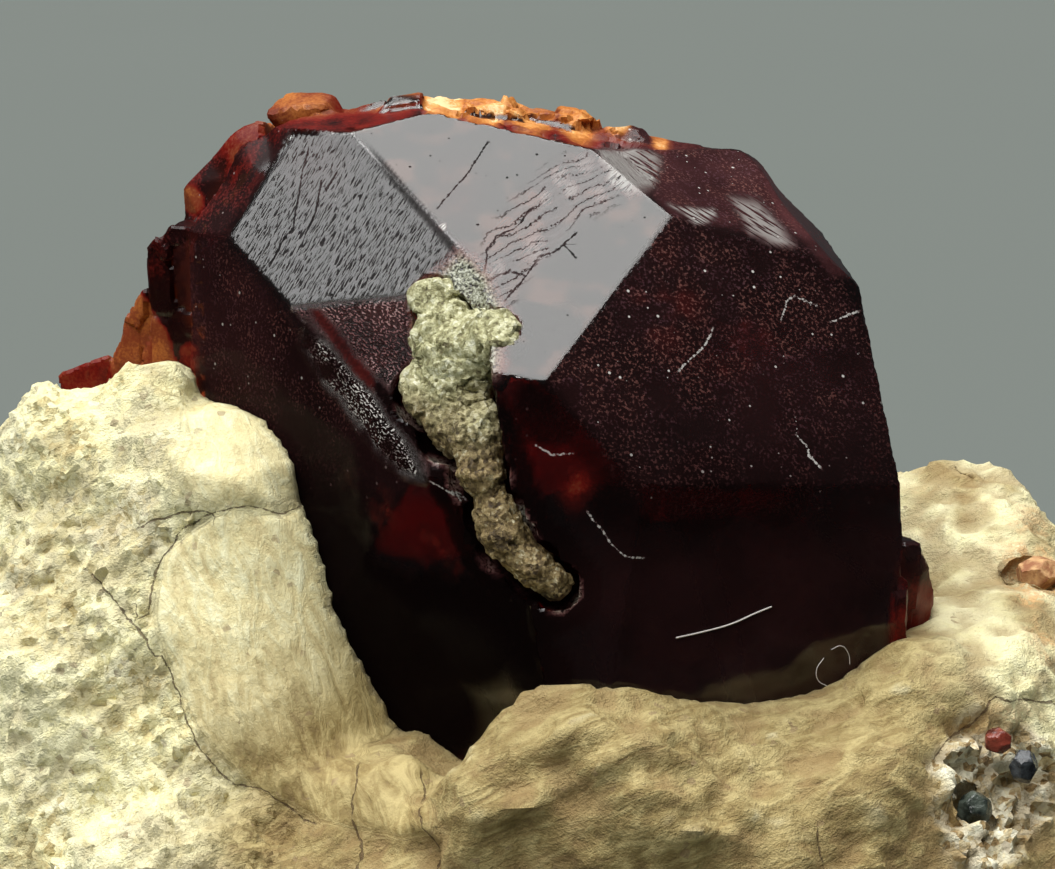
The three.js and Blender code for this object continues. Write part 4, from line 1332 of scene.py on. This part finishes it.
def build_lint():
    """Loose lint caught on the smooth lower face, as thin bent fibres."""
    gem = Relief(bpy.data.objects["gem_crystal"])
    material = fibre_finish()
    for name, (radius, places) in LINT.items():
        line = gem.front_points(places)
        bpy.ops.object.select_all(action="DESELECT")
        bpy.ops.curve.primitive_bezier_curve_add(location=(0.0, 0.0, 0.0))
        fibre = bpy.context.object
        fibre.name = name
        spline = fibre.data.splines[0]
        spline.bezier_points.add(len(line) - len(spline.bezier_points))
        for knot, place in zip(spline.bezier_points, line):
            knot.co = Vector(place + (0.0, -1.6 * radius, 0.0)) * MM
            knot.handle_left_type = "AUTO"
            knot.handle_right_type = "AUTO"
        fibre.data.bevel_depth = radius * MM
        fibre.data.bevel_resolution = 2
        fibre.data.use_fill_caps = True
        choose(fibre)
        bpy.ops.object.convert(target="MESH")
        shade(fibre, sharp_angle=60)
        install(fibre, material, "cream_carbonate")


# ---------------------------------------------------------------- the stage


def aim(thing, direction):
    """Turns a lamp or camera so that it looks along a direction."""
    thing.rotation_euler = Vector(direction).to_track_quat("-Z", "Y").to_euler()


def soft_light(name, way, spread, energy, colour):
    """A distant soft light that stands one way from the specimen; spread is its width in degrees."""
    bpy.ops.object.select_all(action="DESELECT")
    bpy.ops.object.light_add(type="SUN")
    lamp = bpy.context.object
    lamp.name = name
    lamp.data.name = name
    lamp.data.angle = math.radians(spread)
    lamp.data.energy = energy
    lamp.data.color = colour
    aim(lamp, -Vector(facing(*way)))


def build_stage(settings):
    """A plain floor, three soft lights, a dim surround and the camera."""
    bpy.ops.object.select_all(action="DESELECT")
    bpy.ops.mesh.primitive_plane_add(size=settings.floor_size, location=(0.0, 0.0, 0.0))
    floor = bpy.context.object
    floor.name = "floor"
    bpy.ops.object.mode_set(mode="EDIT")
    bpy.ops.mesh.subdivide(number_cuts=3)
    bpy.ops.object.mode_set(mode="OBJECT")
    floor.data.materials.append(floor_finish(tuple(settings.floor_colour)))
    floor.visible_glossy = False

    soft_light("overhead_light", (180, 82), 60, settings.overhead_energy, (1.0, 0.99, 0.97))
    soft_light("left_light", (-91, 57), 44, settings.left_energy, (1.0, 0.99, 0.98))
    soft_light("key_light", (-25, 50), 16, settings.key_energy, (1.0, 0.98, 0.94))

    world = bpy.data.worlds.new("studio")
    bpy.context.scene.world = world
    world.use_nodes = True
    background = world.node_tree.nodes["Background"]
    background.inputs["Color"].default_value = (0.92, 0.98, 1.0, 1.0)
    background.inputs["Strength"].default_value = settings.surround

    camera_data = bpy.data.cameras.new("camera")
    camera_data.lens = settings.lens
    camera_data.sensor_width = 36.0
    camera_data.clip_start = 0.001
    camera_data.clip_end = 10.0
    camera = bpy.data.objects.new("camera", camera_data)
    bpy.context.scene.collection.objects.link(camera)
    view = -Vector(facing(0.0, settings.camera_elevation))
    camera.location = Vector((0.0, 0.0, settings.camera_target)) - view * settings.camera_distance
    aim(camera, view)
    bpy.context.scene.camera = camera
    bpy.context.scene.view_settings.view_transform = "Standard"


# ---------------------------------------------------------------- the add-on


LENGTH = {"unit": "LENGTH", "precision": 5}
COLOUR = {"subtype": "COLOR", "size": 3, "min": 0.0, "max": 1.0}


class SpecimenSettings(bpy.types.PropertyGroup):
    """Sizes and colours of the specimen and its stage."""

    crystal_mesh: bpy.props.FloatProperty(
        name="Crystal mesh", description="Width of the faces on the crystal", default=0.175 * MM, **LENGTH)
    matrix_mesh: bpy.props.FloatProperty(
        name="Matrix mesh", description="Width of the faces on the matrix", default=0.215 * MM, **LENGTH)
    vein_mesh: bpy.props.FloatProperty(
        name="Vein mesh", description="Width of the faces on the vein", default=0.07 * MM, **LENGTH)
    grain_mesh: bpy.props.FloatProperty(
        name="Grain mesh", description="Width of the faces on a grain", default=0.06 * MM, **LENGTH)
    ior: bpy.props.FloatProperty(
        name="IOR", description="Refractive index of clinohumite", default=1.65, min=1.0, max=2.5)
    density: bpy.props.FloatProperty(
        name="Absorption", description="How strongly the crystal absorbs, per metre", default=1500.0)
    body_colour: bpy.props.FloatVectorProperty(
        name="Body colour", description="Colour that the crystal lets through",
        default=(0.90, 0.533, 0.0), **COLOUR)
    # Painted glow: the deep red that stands in for light passing through the crystal.
    glow_colour: bpy.props.FloatVectorProperty(
        name="Glow colour", description="Deep red of the veils close under the surface",
        default=(0.150, 0.007, 0.004), **COLOUR)
    # The film colour: a dull surface with painted sheen and painted reflection.
    haze_and_sheen_colour: bpy.props.FloatVectorProperty(
        name="Haze colour", description="Colour of the dull film on the crystal",
        default=(0.38, 0.10, 0.11), **COLOUR)
    tan_colour: bpy.props.FloatVectorProperty(
        name="Tan", description="Main colour of the shaded front of the matrix",
        default=(0.325, 0.240, 0.088), **COLOUR)
    cream_colour: bpy.props.FloatVectorProperty(
        name="Cream", description="Deeper colour of the pale matrix",
        default=(0.71, 0.58, 0.265), **COLOUR)
    pale_colour: bpy.props.FloatVectorProperty(
        name="Pale cream", description="Main colour of the pale matrix",
        default=(0.93, 0.87, 0.49), **COLOUR)
    vein_colour: bpy.props.FloatVectorProperty(
        name="Vein", description="Main colour of the lower vein filling",
        default=(0.17, 0.115, 0.042), **COLOUR)
    floor_colour: bpy.props.FloatVectorProperty(
        name="Floor colour", description="Colour of the floor sheet",
        default=(0.124, 0.141, 0.131), **COLOUR)
    floor_size: bpy.props.FloatProperty(
        name="Floor size", description="Side of the floor sheet", default=3.0, unit="LENGTH")
    overhead_energy: bpy.props.FloatProperty(
        name="Overhead light", description="Strength of the overhead light", default=3.4)
    left_energy: bpy.props.FloatProperty(
        name="Left light", description="Strength of the light from the left", default=1.75)
    key_energy: bpy.props.FloatProperty(
        name="Key light", description="Strength of the light from the front left", default=1.15)
    surround: bpy.props.FloatProperty(
        name="Surround", description="Brightness of the dim surround", default=0.05)
    lens: bpy.props.FloatProperty(
        name="Lens", description="Focal length of the camera, in mm", default=100.0, unit="CAMERA")
    camera_elevation: bpy.props.FloatProperty(
        name="Camera elevation", description="How far the camera looks down, in degrees", default=14.0)
    camera_distance: bpy.props.FloatProperty(
        name="Camera distance", description="From the camera to the specimen", default=84.7 * MM, **LENGTH)
    camera_target: bpy.props.FloatProperty(
        name="Camera target", description="Height of the point that the camera looks at",
        default=16.0 * MM, **LENGTH)


class SPECIMEN_OT_crystal(bpy.types.Operator):
    """Build the clinohumite crystal"""

    bl_idname = "specimen.crystal"
    bl_label = "Crystal"

    def execute(self, context):
        build_crystal(context.scene.specimen)
        return {"FINISHED"}


class SPECIMEN_OT_matrix(bpy.types.Operator):
    """Build the carbonate matrix"""

    bl_idname = "specimen.matrix"
    bl_label = "Matrix"

    def execute(self, context):
        build_matrix(context.scene.specimen)
        return {"FINISHED"}


class SPECIMEN_OT_vein(bpy.types.Operator):
    """Build the vein filling in the groove of the crystal"""

    bl_idname = "specimen.vein"
    bl_label = "Vein filling"

    def execute(self, context):
        build_vein(context.scene.specimen)
        return {"FINISHED"}


class SPECIMEN_OT_grains(bpy.types.Operator):
    """Build the coloured grains in the matrix"""

    bl_idname = "specimen.grains"
    bl_label = "Grains"

    def execute(self, context):
        build_grains(context.scene.specimen)
        return {"FINISHED"}


class SPECIMEN_OT_lint(bpy.types.Operator):
    """Add the lint caught on the crystal"""

    bl_idname = "specimen.lint"
    bl_label = "Lint"

    def execute(self, context):
        build_lint()
        return {"FINISHED"}


class SPECIMEN_OT_stage(bpy.types.Operator):
    """Set the floor, the lights and the camera"""

    bl_idname = "specimen.stage"
    bl_label = "Stage"

    def execute(self, context):
        build_stage(context.scene.specimen)
        return {"FINISHED"}


class SPECIMEN_PT_panel(bpy.types.Panel):
    """The buttons of the specimen"""

    bl_idname = "SPECIMEN_PT_panel"
    bl_label = "Clinohumite on matrix"
    bl_space_type = "VIEW_3D"
    bl_region_type = "UI"
    bl_category = "Specimen"

    def draw(self, context):
        settings = context.scene.specimen
        for name in settings.bl_rna.properties.keys():
            if name not in ("rna_type", "name"):
                self.layout.prop(settings, name)
        for operator in OPERATORS:
            self.layout.operator(operator.bl_idname)


OPERATORS = (
    SPECIMEN_OT_stage,
    SPECIMEN_OT_crystal,
    SPECIMEN_OT_matrix,
    SPECIMEN_OT_vein,
    SPECIMEN_OT_grains,
    SPECIMEN_OT_lint,
)
CLASSES = (SpecimenSettings, *OPERATORS, SPECIMEN_PT_panel)


def register():
    """Makes the settings, the operators and the panel known to Blender."""
    for one in CLASSES:
        bpy.utils.register_class(one)
    bpy.types.Scene.specimen = bpy.props.PointerProperty(type=SpecimenSettings)


def unregister():
    """Takes them back."""
    del bpy.types.Scene.specimen
    for one in reversed(CLASSES):
        bpy.utils.unregister_class(one)


def main():
    """Builds the stage and every piece."""
    register()
    bpy.ops.specimen.stage()
    bpy.ops.specimen.crystal()
    bpy.ops.specimen.matrix()
    bpy.ops.specimen.vein()
    bpy.ops.specimen.grains()
    bpy.ops.specimen.lint()


if __name__ == "__main__":
    main()
